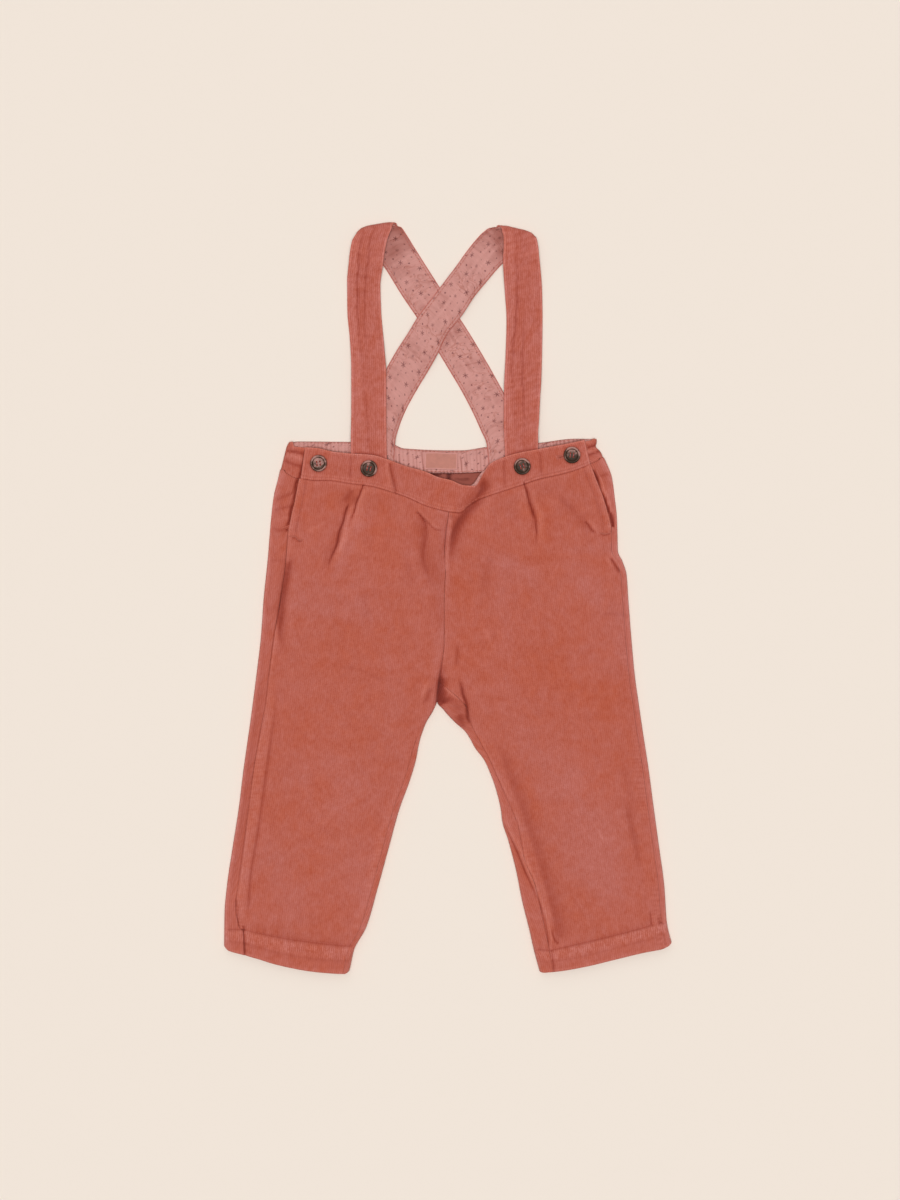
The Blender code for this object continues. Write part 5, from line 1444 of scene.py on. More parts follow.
def button_material():
    """Dark tortoiseshell with paler swirls, polished, with painted light towards the upper right,
    painted shade in the groove and a painted highlight on the rim.
    """
    n = Nodes("tortoiseshell")
    place = n.node("ShaderNodeNewGeometry").outputs["Position"]
    swirl = n.noise(place, 115, 3, 0.6, 0.7)
    fleck = n.noise(place, 800, 3, 0.6, 0.6)
    level = n.add(n.spread(swirl, 0.38, 0.66), fleck, 0.5, 0.35)
    own = n.times(n.object_place(), (1.0, 1.0, 0.0))
    radius = n.vector("LENGTH", own, output="Value")
    east, north = n.parts(own)[:2]
    # Painted light: lighter towards the upper right
    towards_light = n.math("MULTIPLY_ADD", east, 0.5, north)
    level = n.math("MULTIPLY_ADD", towards_light, 45.0, level)
    # Painted shade in the groove inside the rim, and a painted highlight on the rim
    level = n.math("MULTIPLY_ADD", n.near(radius, GROOVE_RADIUS * MM, 0.1 * MM, 0.6 * MM), -0.5, level)
    rim_highlight = n.near(radius, RIM_RADIUS * MM, 0.1 * MM, 0.5 * MM)
    level = n.math("MULTIPLY_ADD", rim_highlight, 0.25, level, clamp=True)
    colour = n.colours(level, BUTTON_COLOURS)
    return n.finish(colour, n.bump(fleck, 0.00004, 0.4), 0.5, 0.12)


def floor_material():
    """Plain pale paper."""
    n = Nodes("pale_floor")
    place = n.object_place()
    colour = n.mix(n.noise(place, 30, 2, 0.5), FLOOR_DARK, FLOOR_LIGHT)
    return n.finish(colour, n.bump(n.noise(place, 900, 2), 0.00002), 0.95, 0.05)


cord = cord_material()
cord_back = cord_back_material()
printed = print_material()
label_tape = label_material()
thread = thread_material("thread", THREAD, 0.72)
dark_thread = thread_material("overlock_thread", DARK_THREAD, 0.6)
button_thread = thread_material("button_thread", BUTTON_THREAD, 0.7)
tortoiseshell = button_material()

# Stitches, gathered as parts of joined meshes
STITCH_SIDES = 6
# Shape of one stitch: share of its length, share of its thickness
STITCH_PROFILE = [(0.0, 0.35), (0.14, 0.85), (0.5, 1.0), (0.86, 0.85), (1.0, 0.35)]
STITCH_START = 0.3
STITCH_SINK = 0.05
TACK_PITCH = 0.5
OVERLOCK_PITCH = 1.1
OVERLOCK_LEAN = 0.3
# Buttonhole: half length, stitches along each side, their distance from the slit and reach,
# half length to the bars at its ends, stitches in each bar, their pitch and reach
HOLE_SIDES = (8.6, 44, 0.95, 0.75)
HOLE_BARS = (9.0, 5, 0.15, 1.7)
stitch_parts = {"stitching": [], "overlocking": [], "button_threads": []}


def bead_chain(ends, radius, bow=0.0):
    """Points and faces of short round-ended threads, one for each pair of end points."""
    starts, stops, lift = ends.transpose(1, 0, 2)
    along = stops - starts
    along = along / np.linalg.norm(along, axis=1, keepdims=True)
    side = np.cross(along, lift)
    side /= np.linalg.norm(side, axis=1, keepdims=True)
    lift = np.cross(side, along)
    angles = 2 * math.pi * np.arange(STITCH_SIDES) / STITCH_SIDES
    rings = []
    for share, width in STITCH_PROFILE:
        centre = starts + (stops - starts) * share + lift * bow * math.sin(math.pi * share)
        ring = [
            centre + radius * width * (math.cos(a) * side + math.sin(a) * lift) for a in angles
        ]
        rings.append(np.stack(ring, axis=1))
    points = np.stack(rings, axis=1).reshape(len(starts), -1, 3)
    faces = []
    for first in range(0, (len(STITCH_PROFILE) - 1) * STITCH_SIDES, STITCH_SIDES):
        for s in range(STITCH_SIDES):
            n = (s + 1) % STITCH_SIDES
            faces.append((first + s, first + STITCH_SIDES + s, first + STITCH_SIDES + n, first + n))
    last = (len(STITCH_PROFILE) - 1) * STITCH_SIDES
    for start, order in ((0, 1), (last, -1)):
        ring = [start + s for s in range(STITCH_SIDES)][::order]
        faces.append(tuple(ring[:4]))
        faces.append((ring[0], ring[3], ring[4], ring[5]))
    shifts = np.arange(len(points)) * points.shape[1]
    every = np.array(faces)[None] + shifts[:, None, None]
    return points.reshape(-1, 3), every.reshape(-1, 4)


def add_beads(group, ends, radius, bow=0.0):
    """Keep threads for one of the joined meshes."""
    if len(ends):
        stitch_parts[group].append(bead_chain(np.array(ends, float), radius, bow))


def sew(points, lifts, pitch=2.9, length=2.3, radius=0.22):
    """A row of straight stitches along points on the cloth, with the cloth's normals."""
    runs = line_runs(points)
    ends = []
    for k in range(max(int((runs[-1] - length) / pitch), 0)):
        at = k * pitch + STITCH_START + np.array([0.0, length])
        lift = on_line(at.mean(), runs, lifts)
        start, stop = on_line(at, runs, points) + lift * (radius * 0.35 - STITCH_SINK)
        ends.append([start, stop, lift])
    add_beads("stitching", ends, radius, 0.06)


def middle_part(points, lifts, start, stop):
    """Points and normals of a line between two shares of it."""
    first = int(start * (len(points) - 1))
    last = int(stop * (len(points) - 1)) + 1
    return points[first:last], lifts[first:last]


def row_line(top, normal, row, start, stop):
    """Points and normals along a row of a piece's right side, at a float index."""
    low = int(math.floor(row))
    share = row - low
    high = min(low + 1, len(top) - 1)
    points = top[low] * (1 - share) + top[high] * share
    lifts = normal[low] * (1 - share) + normal[high] * share
    return middle_part(points, lifts, start, stop)


def line_at(top, normal, inset, side, start=0.0, stop=1.0):
    """Line on the right side at a constant distance inside one edge of a piece."""
    if side.endswith("column"):
        top = top.transpose(1, 0, 2)
        normal = normal.transpose(1, 0, 2)
    if side.startswith("last"):
        top = top[::-1]
        normal = normal[::-1]
    distance = run_lengths(top, 0)
    lines = range(top.shape[1])
    points = np.array([on_line(inset, distance[:, k], top[:, k]) for k in lines])
    lifts = np.array([on_line(inset, distance[:, k], normal[:, k]) for k in lines])
    return middle_part(points, lifts, start, stop)


def puckers(along, distance, pitch, reach, height, seed):
    """Small ripples across a seam, as far as reach from it."""
    wobble = np.sin(along * 0.21 + seed) * 1.3 + np.sin(along * 0.083 + 2.1 * seed) * 2.0
    strength = 0.55 + 0.45 * np.sin(along * 0.057 + 3.3 * seed)
    wave = np.sin(2 * math.pi * along / pitch + wobble) * strength
    return height * wave * bell(distance, reach)


def hem_strip(depth):
    """1 on the ribbed strip just below a hem's stitches, by depth below the hem line."""
    return ramp(depth, 0.3, 1.4) * (1.0 - ramp(depth, 5.0, 7.0))


# Unevenness of lying cloth: seed, wavelengths, height
LEG_WAVES = (11, (23, 31, 38, 47, 59, 71), 0.5)
BACK_WAVES = (23, (29, 37, 53, 67), 0.5)
BAND_WAVES = (31, (13, 19, 27, 41), 0.35)
LABEL_WAVES = (5, (9, 13, 17), 0.3)
# Puckers across seams and edges: pitch, reach, height, seed
OUTER_PUCKERS = (3.4, 3.8, 0.2, 1.0)
INNER_PUCKERS = (3.5, 3.6, 0.2, 2.0)
HEM_RIBS = (1.9, 3.8, 0.16, 4.0)
HEM_RIPPLES = (4.3, 3.2, 0.2, 7.0)
BAND_TOP_PUCKERS = (4.6, 4.5, 0.16, 5.0)
BAND_LOW_PUCKERS = (4.2, 4.0, 0.16, 6.0)
STRAP_PUCKERS = (4.9, 5.5, 0.22)
# Ridges and grooves along a hem: height, reach, depth below its stitches
HEM_RIDGE = (0.3, 1.0, 1.4)
HEM_LOW_RIDGE = (0.08, 0.9, 6.6)
HEM_GROOVE = (-0.38, 0.65, -0.5)
# A line of painted shade only, below the lower ridge, with no relief: strength, reach, depth
HEM_SECOND_LINE = (0.24, 0.8, 7.2)
# How much higher the turned-up hem stands, and from where to where it rises
HEM_STEP = 0.7
HEM_STEP_RUN = (-0.6, 1.6)


def scaled_bell(value, row):
    """A bell of the height, reach and middle in row."""
    height, reach, middle = row
    return height * bell(value, reach, middle)


def leg_relief(side, grid, rows):
    """Creases, puckers and hem of the upper side of a leg in millimetres, and their tone: painted
    shade in grooves and troughs, painted light on ridges, a lighter hem strip, and a line of
    painted shade below the hem's lower ridge.
    """
    x = grid[:, :, 0]
    y = grid[:, :, 1]
    relief, tone = crease_heights(x, y, FRONT_CREASES)
    seam = OUTWARD[side] * (outer_seam_x(side, y) - x)
    inner = OUTWARD[side] * (x - inner_seam_x(side, y))
    seam_side = puckers(y, seam - 3.0, *OUTER_PUCKERS) * (1.0 - ramp(y, -70, -20))
    inside = puckers(y, inner - 3.0, *INNER_PUCKERS) * (1.0 - ramp(y, -130, -90))
    depth = HEM_LINE[side] - np.broadcast_to(rows[:, None], x.shape)
    turned = HEM_STEP * ramp(depth, *HEM_STEP_RUN)
    ridge = scaled_bell(depth, HEM_RIDGE) + scaled_bell(depth, HEM_LOW_RIDGE)
    strip = hem_strip(depth)
    groove = scaled_bell(depth, HEM_GROOVE)
    ribs = puckers(x, (depth - 3.5) * 0.8, *HEM_RIBS) * strip
    ripples = puckers(x, depth + 2.5, *HEM_RIPPLES)
    relief = relief + seam_side + inside + turned + ridge + groove + ribs + ripples
    tone = tone + 1.3 * (seam_side + inside) + 3.0 * ribs + 0.6 * ripples + 0.5 * ridge
    tone = tone + 1.3 * groove + 0.26 * strip - scaled_bell(depth, HEM_SECOND_LINE)
    return relief + waves(x, y, *LEG_WAVES), tone


def leg_shades(side, x, y):
    """Broad painted shade and light of a leg's upper side as tone, and its cast: pinker and browner
    nap, with painted sheen along its folds.
    """
    tone, _ = crease_heights(x, y, PAINTED_SHADE_AND_LIGHT)
    cast, _ = crease_heights(x, y, CASTS)
    from_inner = OUTWARD[side] * (x - fold_x(side, y))
    at_fork = 1.0 - ramp(y, -80, -110)
    # Painted sheen along both folds of the leg, as a pinker cast
    cast = cast + FOLD_SHEEN_CAST * bell(from_outer_fold(side, x, y), FOLD_SHEEN_REACH)
    cast = cast + FOLD_SHEEN_CAST * bell(from_inner, FOLD_SHEEN_REACH) * at_fork
    return tone, cast


def relief_share(side, x, y):
    """Share of the relief that is left near the folds at a leg's edges."""
    from_inner = from_inner_fold(side, x, y, 4.0)
    return ramp(from_outer_fold(side, x, y), 0.0, 3.5) * ramp(from_inner, 0.0, 3.5)


def tone_of(tone):
    """Painted light on ridges, partly also wear, and painted shade in troughs, within limits."""
    return np.tanh(tone * 0.8)


def edge_tone(grid, borders, dark=0.3, light=0.35):
    """Painted shade and light along the borders of first and last row, first and last column.

    Each is None, 0 for a sewn edge or 1 for a free one, or between. dark and light are the
    strengths of the painted shade in the seam line and of the ridge beside it, lighter partly
    from wear and partly from painted light; a free edge gets a painted highlight.
    """
    down = run_lengths(grid, 0)
    across = run_lengths(grid, 1)
    gaps = (down, down[-1:] - down, across, across[:, -1:] - across)
    runs = (across, across, down, down)
    total = np.zeros(grid.shape[:2])
    for k, (free, distance, along) in enumerate(zip(borders, gaps, runs)):
        if free is None:
            continue
        uneven = 0.75 + 0.4 * np.sin(along * 0.13 + k) * np.sin(along * 0.057 + 2.0 * k)
        line = bell(distance, 0.8)
        ridge = bell(distance, 0.8, 1.5)
        loose = bell(distance, 1.1, 0.3)
        total = total + (light * ridge - dark * line) * uneven * (1.0 - free) + loose * free
    return total


def leg_cloth(side, name, grid, rows, tone, uv, distance, cast):
    """A leg piece, thicker and rougher at its turned-up hem."""
    hems = np.where(rows <= HEM_LINE[side], HEM_TURN, 0.0)[:, None]
    nap = 1.0 + 0.9 * hem_strip(HEM_LINE[side] - rows)[:, None]
    piece, top, normal = cloth(name + "_cloth", grid, CORD / 2, CORD / 2 + hems,
                               [cord, cord_back], tone, uv, distance, nap, cast)
    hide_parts(name)
    return top, normal, rows


def seam_dip(side, grid, rows, share):
    """Dip of a leg piece along its sewn edges, above the hem."""
    depth, reach = SEAM_DIP
    dip = depth * bell(border_distance(grid), reach) * share
    return dip * ramp(rows, HEM_LINE[side], HEM_LINE[side] + 3)[:, None]


# Spacing of the sections of the legs, distances from an edge at which its rounding is followed,
# and width and columns of a front
ROW_STEP = 1.3
SHELL_ROUND = round_steps(CORD / 2)
HEM_ROUND = round_steps((CORD + HEM_TURN) / 2)
FRONT_WIDTH = 130.0
FRONT_COLUMNS = 104
# Lean of the fronts' ribs, in degrees
GRAIN_TILT = {"left": 7.0, "right": -7.0}


def leg_rows(side):
    """y at the outer edge of each section of a leg."""
    top = LEG_SECTIONS[side][0][0]
    base = LEG_SECTIONS[side][-1][0]
    count = int((top - base) / ROW_STEP)
    rows = eased(count, top, base, SHELL_ROUND, HEM_ROUND)
    hem = HEM_LINE[side]
    rows = rows[(np.abs(rows - hem) > 0.9)]
    return np.sort(np.concatenate([rows, [hem + 1.0, hem + 0.3, hem - 0.6]]))[::-1]


def add_fronts():
    """Two front pieces: the right side of each, its normals and its rows."""
    made = {}
    edges = [d / FRONT_WIDTH for d in SHELL_ROUND]
    shares = eased(FRONT_COLUMNS, 0.0, 1.0, edges, edges)
    for side in ("left", "right"):
        end = OPENING_END[side]
        rows = leg_rows(side)
        grid = front_grid(side, rows, shares)
        x = grid[:, :, 0]
        y = grid[:, :, 1]
        relief, tone = leg_relief(side, grid, rows)
        share = relief_share(side, x, y)
        shade, cast = leg_shades(side, x, y)
        opening = OUTWARD[side] * (outer_seam_x(side, y) - x)
        along_opening = ramp(y, end - 2, end + 4)
        # The opening's raised edge is lighter, partly worn and partly painted light; painted shade
        # inside
        worn = bell(opening, 1.5, 1.4) - bell(opening, 0.8, 5.8)
        relief = relief * share + 0.4 * along_opening * worn
        tone = (tone + shade) * share + 0.3 * along_opening * worn
        tone = tone + edge_tone(grid, (0.0, 0.6, None, None))
        free = ramp(rows, end - 1, end + 2)[:, None]
        if side == "right":
            low = 1.0 - ramp(y, -114, -94)
            seam_line = edge_tone(grid, (None, None, 0.0, None), 0.5, 0.75) * low
        else:
            seam_line = edge_tone(grid, (None, None, None, 0.0), 0.42, 0.75) * (1.0 - free)
        above_hem = ramp(rows, HEM_LINE[side] - 1, HEM_LINE[side] + 4)[:, None]
        centre = edge_tone(grid, (None, None, 0.0, None), 0.3, 0.35 if side == "right" else 0.0)
        centre = centre * ramp(y, CROTCH[1], CROTCH[1] + 6)
        tone = tone + seam_line * above_hem + centre
        tone = tone + free * edge_tone(grid, (None, None, None, 1.0))
        grid[:, :, 2] += relief
        grid[:, :, 2] -= seam_dip(side, grid, rows, 1.0 - along_opening)
        distance = border_distance(grid, (1.0, 0.0, 1.0, 1.0 - free), seam_square(side, rows))
        if side == "right":
            grid, tone, cast, distance, x, y = flipped(grid, tone, cast, distance, x, y)
        tilt = math.radians(GRAIN_TILT[side])
        uv = np.stack([x * math.cos(tilt) - y * math.sin(tilt),
                       y * math.cos(tilt) + x * math.sin(tilt)], axis=-1)
        made[side] = leg_cloth(side, "front_" + side, grid, rows, tone_of(tone), uv, distance, cast)
    return made


# Shade and gape of the underlap beside the edge of each side opening, as the creases above
UNDERLAP_CREASES = [
    (-1.5, 0.9, 1.1, 0.05, 0.02, [(-106.6, 114), (-109.8, 101), (-112.2, 92), (-114.8, 86),
                                  (-115.4, 80.7), (-116.4, 73), (-118.6, 66.5), (-119.4, 60),
                                  (-121.2, 55), (-122.2, 50)]),
    (-1.9, 1.2, 1.2, 0.05, 0.02, [(109.4, 96.9), (114.0, 88), (115.6, 81), (119.2, 74.6),
                                  (121, 69), (124, 62.4), (125.8, 52.5)]),
    (0.7, 0.9, 0.9, 0.1, 0.1, [(113.9, 93), (118, 84), (122.4, 73), (125.6, 62)]),
]


BACK_COUNTS = ((10, 12), (10, 18))
BACK_FLOOR = 58


def add_backs():
    """Two back pieces: the right side of each, its normals and its rows."""
    made = {}
    (arc_in, wrap_in), (arc_out, wrap_out) = BACK_COUNTS
    first = wrap_in + arc_in
    for side in ("left", "right"):
        end = OPENING_END[side]
        rows = leg_rows(side)
        grid = back_grid(side, rows, BACK_COUNTS, BACK_FLOOR)
        count = grid.shape[1]
        last = count - wrap_out - arc_out
        column = np.arange(count)
        # Shares of each column that lie on the upper side, bend round a fold and lie on the floor
        angle_in = math.pi * np.arange(arc_in) / arc_in
        angle_out = math.pi * np.arange(arc_out) / arc_out
        upper = np.zeros(count)
        upper[:wrap_in] = 1.0
        upper[-wrap_out:] = 1.0
        upper[wrap_in:first] = 0.5 + 0.5 * np.cos(angle_in)
        upper[last:-wrap_out] = (0.5 + 0.5 * np.cos(angle_out))[::-1]
        bend = np.zeros(count)
        bend[wrap_in:first] = np.sin(angle_in)
        bend[last:-wrap_out] = np.sin(angle_out)
        on_floor = (column >= first) & (column < last)
        lying = ramp(column, first, first + 5) * (1.0 - ramp(column, last - 6, last - 1)) * on_floor
        turned = column < first
        x = grid[:, :, 0]
        y = grid[:, :, 1]
        raised = np.where(turned, 1.0 - ramp(y, *FORK_RISE[side]), 1.0)
        upper = upper * raised
        up_relief, up_tone = leg_relief(side, grid, rows)
        near_fold = relief_share(side, x, y)
        tucked = np.zeros_like(x)
        tucked[:, -wrap_out:] = ramp(rows, end - 2, end + 6)[:, None]
        under, under_tone = crease_heights(x, y, FRONT_CREASES)
        gape, gape_tone = crease_heights(x, y, UNDERLAP_CREASES)
        under = np.clip(under * near_fold + gape, -1.9, 0.4)
        up_relief = up_relief * near_fold * (1.0 - tucked) + under * tucked
        shade, cast = leg_shades(side, x, y)
        cast = cast * upper
        up_tone = up_tone * near_fold * (1.0 - tucked) + shade
        up_tone = up_tone + (0.7 * under_tone * near_fold + 1.5 * gape_tone) * tucked
        low_relief, low_tone = crease_heights(x, y, BACK_CREASES)
        low_relief = low_relief + np.abs(waves(x, y, *BACK_WAVES))
        grid[:, :, 2] += up_relief * upper + low_relief * lying
        grid[:, -wrap_out:, 2] = np.maximum(grid[:, -wrap_out:, 2], 1.6 * CORD)
        at_fork = np.exp(-(np.hypot(x - FORK_SPOT[0], y - FORK_SPOT[1]) / FORK_SPOT[2]) ** 4)
        tone = up_tone * np.maximum(upper, at_fork * turned) - low_tone * lying
        centre_seam = edge_tone(grid, (None, None, 0.0, None), 0.6, 0.3)
        inside, _ = crease_heights(x, y, INSIDE_PAINTED_SHADE)
        tone = tone + centre_seam * ramp(y, *FORK_RISE[side]) + inside
        hem_seam = bell(rows, 0.9, HEM_LINE[side])[:, None]
        tone = tone - 0.55 * hem_seam * lying
        sewn = 1.0 - ramp(rows, end, end + 6)[:, None]
        grid[:, :, 2] -= seam_dip(side, grid, rows, upper * sewn)
        tone = tone + edge_tone(grid, (0.0, 0.6, None, None), 0.25, 0.0)
        if side == "left":
            above_hem = ramp(rows, HEM_LINE[side] - 1, HEM_LINE[side] + 4)[:, None]
            line = edge_tone(grid, (None, None, None, 0.0), 0.4, 0.0)
            tone = tone + line * sewn * above_hem
        tone = tone + (1.0 - sewn) * edge_tone(grid, (None, None, None, 1.0))
        distance = border_distance(grid, (1.0, 0.0, 1.0, sewn), seam_square(side, rows))
        across = run_lengths(grid, 1)
        across = across[:, -wrap_out:-wrap_out + 1] - across
        uv = np.stack([across, -run_lengths(grid, 0)], axis=-1)
        # Painted light on the rounded fold of each leg
        tone = tone_of(tone + 1.3 * bend ** 1.5 * raised * (1.0 - at_fork))
        if side == "left":
            grid, tone, cast, distance, uv = flipped(grid, tone, cast, distance, uv)
        made[side] = leg_cloth(side, "back_" + side, grid, rows, tone, uv, distance, cast)
    return made


# Folds of the back band's sides, and tucks of its gathered facing, as the creases above
SIDE_BAND_CREASES = [
    (-0.55, 1.0, 1.2, 0.1, 0.2, [(-122, 111), (-115, 110.2), (-107, 108)]),
    (-0.4, 1.2, 1.4, 0.1, 0.2, [(-124, 104), (-117, 101), (-109, 99)]),
    (0.5, 1.4, 1.4, 0.1, 0.2, [(-123, 108.5), (-116, 106.8), (-108, 104.6)]),
    (-0.7, 1.1, 1.3, 0.2, 0.1, [(105, 113.4), (110, 114.6), (115, 117)]),
    (-0.5, 1.1, 1.1, 0.2, 0.1, [(106, 107.5), (111, 109.5), (116.5, 111.5)]),
    (0.5, 1.2, 1.2, 0.2, 0.1, [(105, 110.6), (110.5, 112), (116, 114.4)]),
]
FACING_TUCKS = [
    (-0.6, 0.45, 0.45, 0.1, 0.1, [(-20.0, 111), (-19.2, 104), (-17.6, 95.5)]),
    (0.5, 0.6, 0.6, 0.1, 0.1, [(-22.0, 111), (-21.0, 104), (-19.4, 95.5)]),
    (-0.7, 0.5, 0.5, 0.1, 0.1, [(9.4, 108), (10.2, 103), (10.6, 95.5)]),
    (0.6, 0.6, 0.6, 0.1, 0.1, [(10.9, 109), (11.8, 103), (12.4, 95.5)]),
    (-0.5, 0.4, 0.4, 0.1, 0.2, [(12.0, 109), (13.2, 103), (14.6, 97)]),
    (-0.4, 0.4, 0.4, 0.1, 0.2, [(-37.0, 109), (-36.4, 102), (-36.0, 94)]),
    (-0.4, 0.4, 0.4, 0.1, 0.2, [(-26.0, 109), (-25.4, 102), (-24.8, 95)]),
]

FRONT_BAND_LENGTH = 225.0
FRONT_BAND_WIDTH = 23.0
BAND_STATIONS = 230
BAND_SHARES = 26
BACK_BAND_WIDTH = 20.0
BACK_BAND_SHARES = 20
BACK_BAND_COUNTS = ((8, 26), (8, 26))
BACK_BAND_FLOOR = 190
BACK_FACING_FLOOR = 420


def add_front_band():
    """Front band with its printed facing: its right side and normals."""
    last = len(FRONT_BAND) - 1
    ends = [d / FRONT_BAND_LENGTH * last for d in SHELL_ROUND]
    stations = eased(BAND_STATIONS, 0.0, last, ends, ends)
    rims = [d / FRONT_BAND_WIDTH for d in SHELL_ROUND]
    shares = eased(BAND_SHARES, 0.0, 1.0, rims, rims)
    grid = front_band_grid(stations, shares, -0.05, 0.0, False)
    x = grid[:, :, 0]
    y = grid[:, :, 1]
    from_low = shares[:, None] * FRONT_BAND_WIDTH
    from_top = FRONT_BAND_WIDTH - from_low
    relief, tone = crease_heights(x, y, FRONT_CREASES)
    small = puckers(x, from_top, *BAND_TOP_PUCKERS) + puckers(x, from_low, *BAND_LOW_PUCKERS)
    for inset in (2.2, 20.6):
        small = small - 0.2 * bell(from_low, 0.7, inset)
    relief = relief + small + waves(x, y, *BAND_WAVES)
    # Painted light and shade on the puckers, and a painted light line above the lower stitches
    tone = tone + 0.8 * small + 0.35 * bell(from_low, 0.8, 3.6)
    for button_x, button_y, _ in BUTTONS.values():
        around = np.hypot(x - button_x, y - button_y)
        relief = relief * ramp(around, 4.0, 9.0)
        relief = relief - 0.5 * bell(around, 5.0)
        # Painted shadow in a ring round each button
        tone = tone - 0.55 * bell(np.maximum(around - 6.0, 0), 1.1)
    tone = tone + edge_tone(grid, (0.0, 1.0, 1.0, 1.0), 0.7, 0.4)
    # Painted light along the lower seam's edge and the top edge, then the broad painted shade
    uneven = 0.8 + 0.3 * np.sin(x * 0.17 + 1.0) * np.sin(x * 0.41)
    tone = tone + 0.8 * uneven * bell(from_low, 0.6, 1.3)
    tone = tone + 0.65 * bell(from_top, 0.9, 0.9)
    shade, _ = crease_heights(x, y, PAINTED_SHADE_AND_LIGHT)
    tone = tone + 0.8 * shade
    grid[:, :, 2] += relief
    uv = np.stack([run_lengths(grid, 1), y], axis=-1)
    piece, top, normal = cloth("waistband_front_cloth", grid, CORD / 2, CORD / 2,
                               [cord, cord_back], tone_of(tone), uv,
                               border_distance(grid, (1.0, 0.0, 0.0, 0.0)), 1.2)
    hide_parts("waistband_front")
    facing = front_band_grid(stations, shares, FRONT_FACING_INSET, FRONT_FACING_INSET, True)
    facing[:, :, 2] += np.minimum(relief, 0.0) - 0.1
    uv = np.stack([run_lengths(facing, 1) + 61.0, facing[:, :, 1] + 17.0], axis=-1)
    far = BAND_TO_FACING + PRINT / 2
    near = BAND_TO_FACING - PRINT / 2
    lining, _, _ = cloth("waistband_front_facing_cloth", facing, -near, far, [printed],
                         np.zeros_like(relief), uv)
    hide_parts("waistband_front_facing")
    return top, normal


def add_back_band():
    """Back band that comes round both sides, with its gathered facing: its right side and normals."""
    rims = [d / BACK_BAND_WIDTH for d in SHELL_ROUND]
    shares = eased(BACK_BAND_SHARES, 0.0, 1.0, rims, rims)
    held = np.sin(math.pi * np.clip(shares, 0.0, 1.0))[:, None]
    grid = back_band_grid(BAND_FLOOR_Z, BAND_WRAP_Z, 0.0, 0.0, CORD / 2, BACK_BAND_COUNTS,
                          BACK_BAND_FLOOR, shares)
    x = grid[:, :, 0]
    y = grid[:, :, 1]
    high = ramp(grid[:, :, 2], 3.0, BAND_WRAP_Z - 0.1)
    ripple, ripple_tone = crease_heights(x, y, SIDE_BAND_CREASES + UNDERLAP_CREASES)
    ripple = np.maximum(ripple, -0.9) * high
    ripple_tone = ripple_tone * high * 1.3
    shirr = 0.35 * (0.5 + 0.5 * np.sin(2 * math.pi * x / 5.3 + 1.5 * np.sin(x * 0.13)))
    shirr = shirr * (1.0 - ramp(np.abs(x + 4), 70, 95)) * (1.0 - high) * held
    grid[:, :, 2] += ripple + shirr
    uv = np.stack([run_lengths(grid, 1), y], axis=-1)
    # Painted shade and light of the ripples and shirring, along the seam and on the free edge
    tone = tone_of(ripple_tone - 0.3 * shirr + edge_tone(grid, (0.0, 1.0, None, None)))
    distance = border_distance(grid, (1.0, 0.0, 0.0, 0.0))
    piece, _, _ = cloth("waistband_back_cloth", grid[::-1], CORD / 2, CORD / 2,
                        [cord, cord_back], tone[::-1], uv[::-1], distance[::-1], 1.2)
    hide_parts("waistband_back")
    inside = CORD + 2 * LAYER_GAP
    facing = back_band_grid(FACING_FLOOR_Z, FACING_WRAP_Z, inside, BACK_FACING_INSET, PRINT / 2,
                            BACK_BAND_COUNTS, BACK_FACING_FLOOR, shares)
    x = facing[:, :, 0]
    y = facing[:, :, 1]
    on_floor = facing[:, :, 2] < FACING_FLOOR_Z + 1e-6
    lean = 2.0 * math.pi * (x + 0.25 * np.sin(y * 0.5 + x * 0.2)) / GATHER_PITCH
    wave = 0.5 - 0.5 * np.cos(lean)
    fine = 0.5 + 0.5 * np.sin(x * 2.15 + 1.3 * np.sin(x * 0.31) + 0.12 * y)
    uneven = 0.75 + 0.25 * np.sin(x * 0.37 + 1.0)
    gathered = GATHER_HEIGHT * wave * uneven * (1.0 - gather_flats(x)) + 0.32 * fine
    tucks, tuck_tone = crease_heights(x, y, FACING_TUCKS)
    lift = np.where(on_floor, (gathered + 0.25) * held ** 0.35 + tucks, 0.0)
    facing[:, :, 2] += np.maximum(lift, -0.15)
    follow, _ = crease_heights(x, y, SIDE_BAND_CREASES + UNDERLAP_CREASES)
    high = ramp(facing[:, :, 2], 3.0, FACING_WRAP_Z - 0.1)
    facing[:, :, 2] += np.clip(follow, -0.7, 0.0) * high
    # Painted light on the gathers' crests, painted shade in their hollows and tucks and behind the
    # band
    tone = np.where(on_floor, (gathered - 0.4) * 0.5 + 0.45 * (fine - 0.55) + tuck_tone, 0.0)
    tone = np.tanh(tone + 0.15 + behind_band(x, y))
    uv = np.stack([run_lengths(facing, 1), y], axis=-1)
    lining, top, normal = cloth("waistband_back_facing_cloth", facing, PRINT / 2, PRINT / 2,
                                [printed], tone, uv, nap=0.0)
    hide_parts("waistband_back_facing")
    return top, normal


# Shaded spots of the linings: x, y, reach, tone
LINING_SHADES = {
    "left": [(-40, 262, 7, -0.9), (-46, 254, 6, -0.9), (-36, 247, 4, -0.4), (2, 197, 4, -0.9),
             (8, 203, 3, -0.8), (-4, 190, 3, -0.7), (-20, 214, 2, -0.5), (-9, 228, 2, -0.4)],
    "right": [(39, 272, 5, -0.9), (40, 262, 4, -0.9), (34, 256, 3, -0.6), (-44, 146, 3, -0.4)],
}
STRAP_WIDTH = 26.5
STRAP_SHARES = 24
STRAP_STEPS = 10
STRAP_TURN = 12
# The lining's width as a share of the brace's
LINING_WIDTH = 0.95


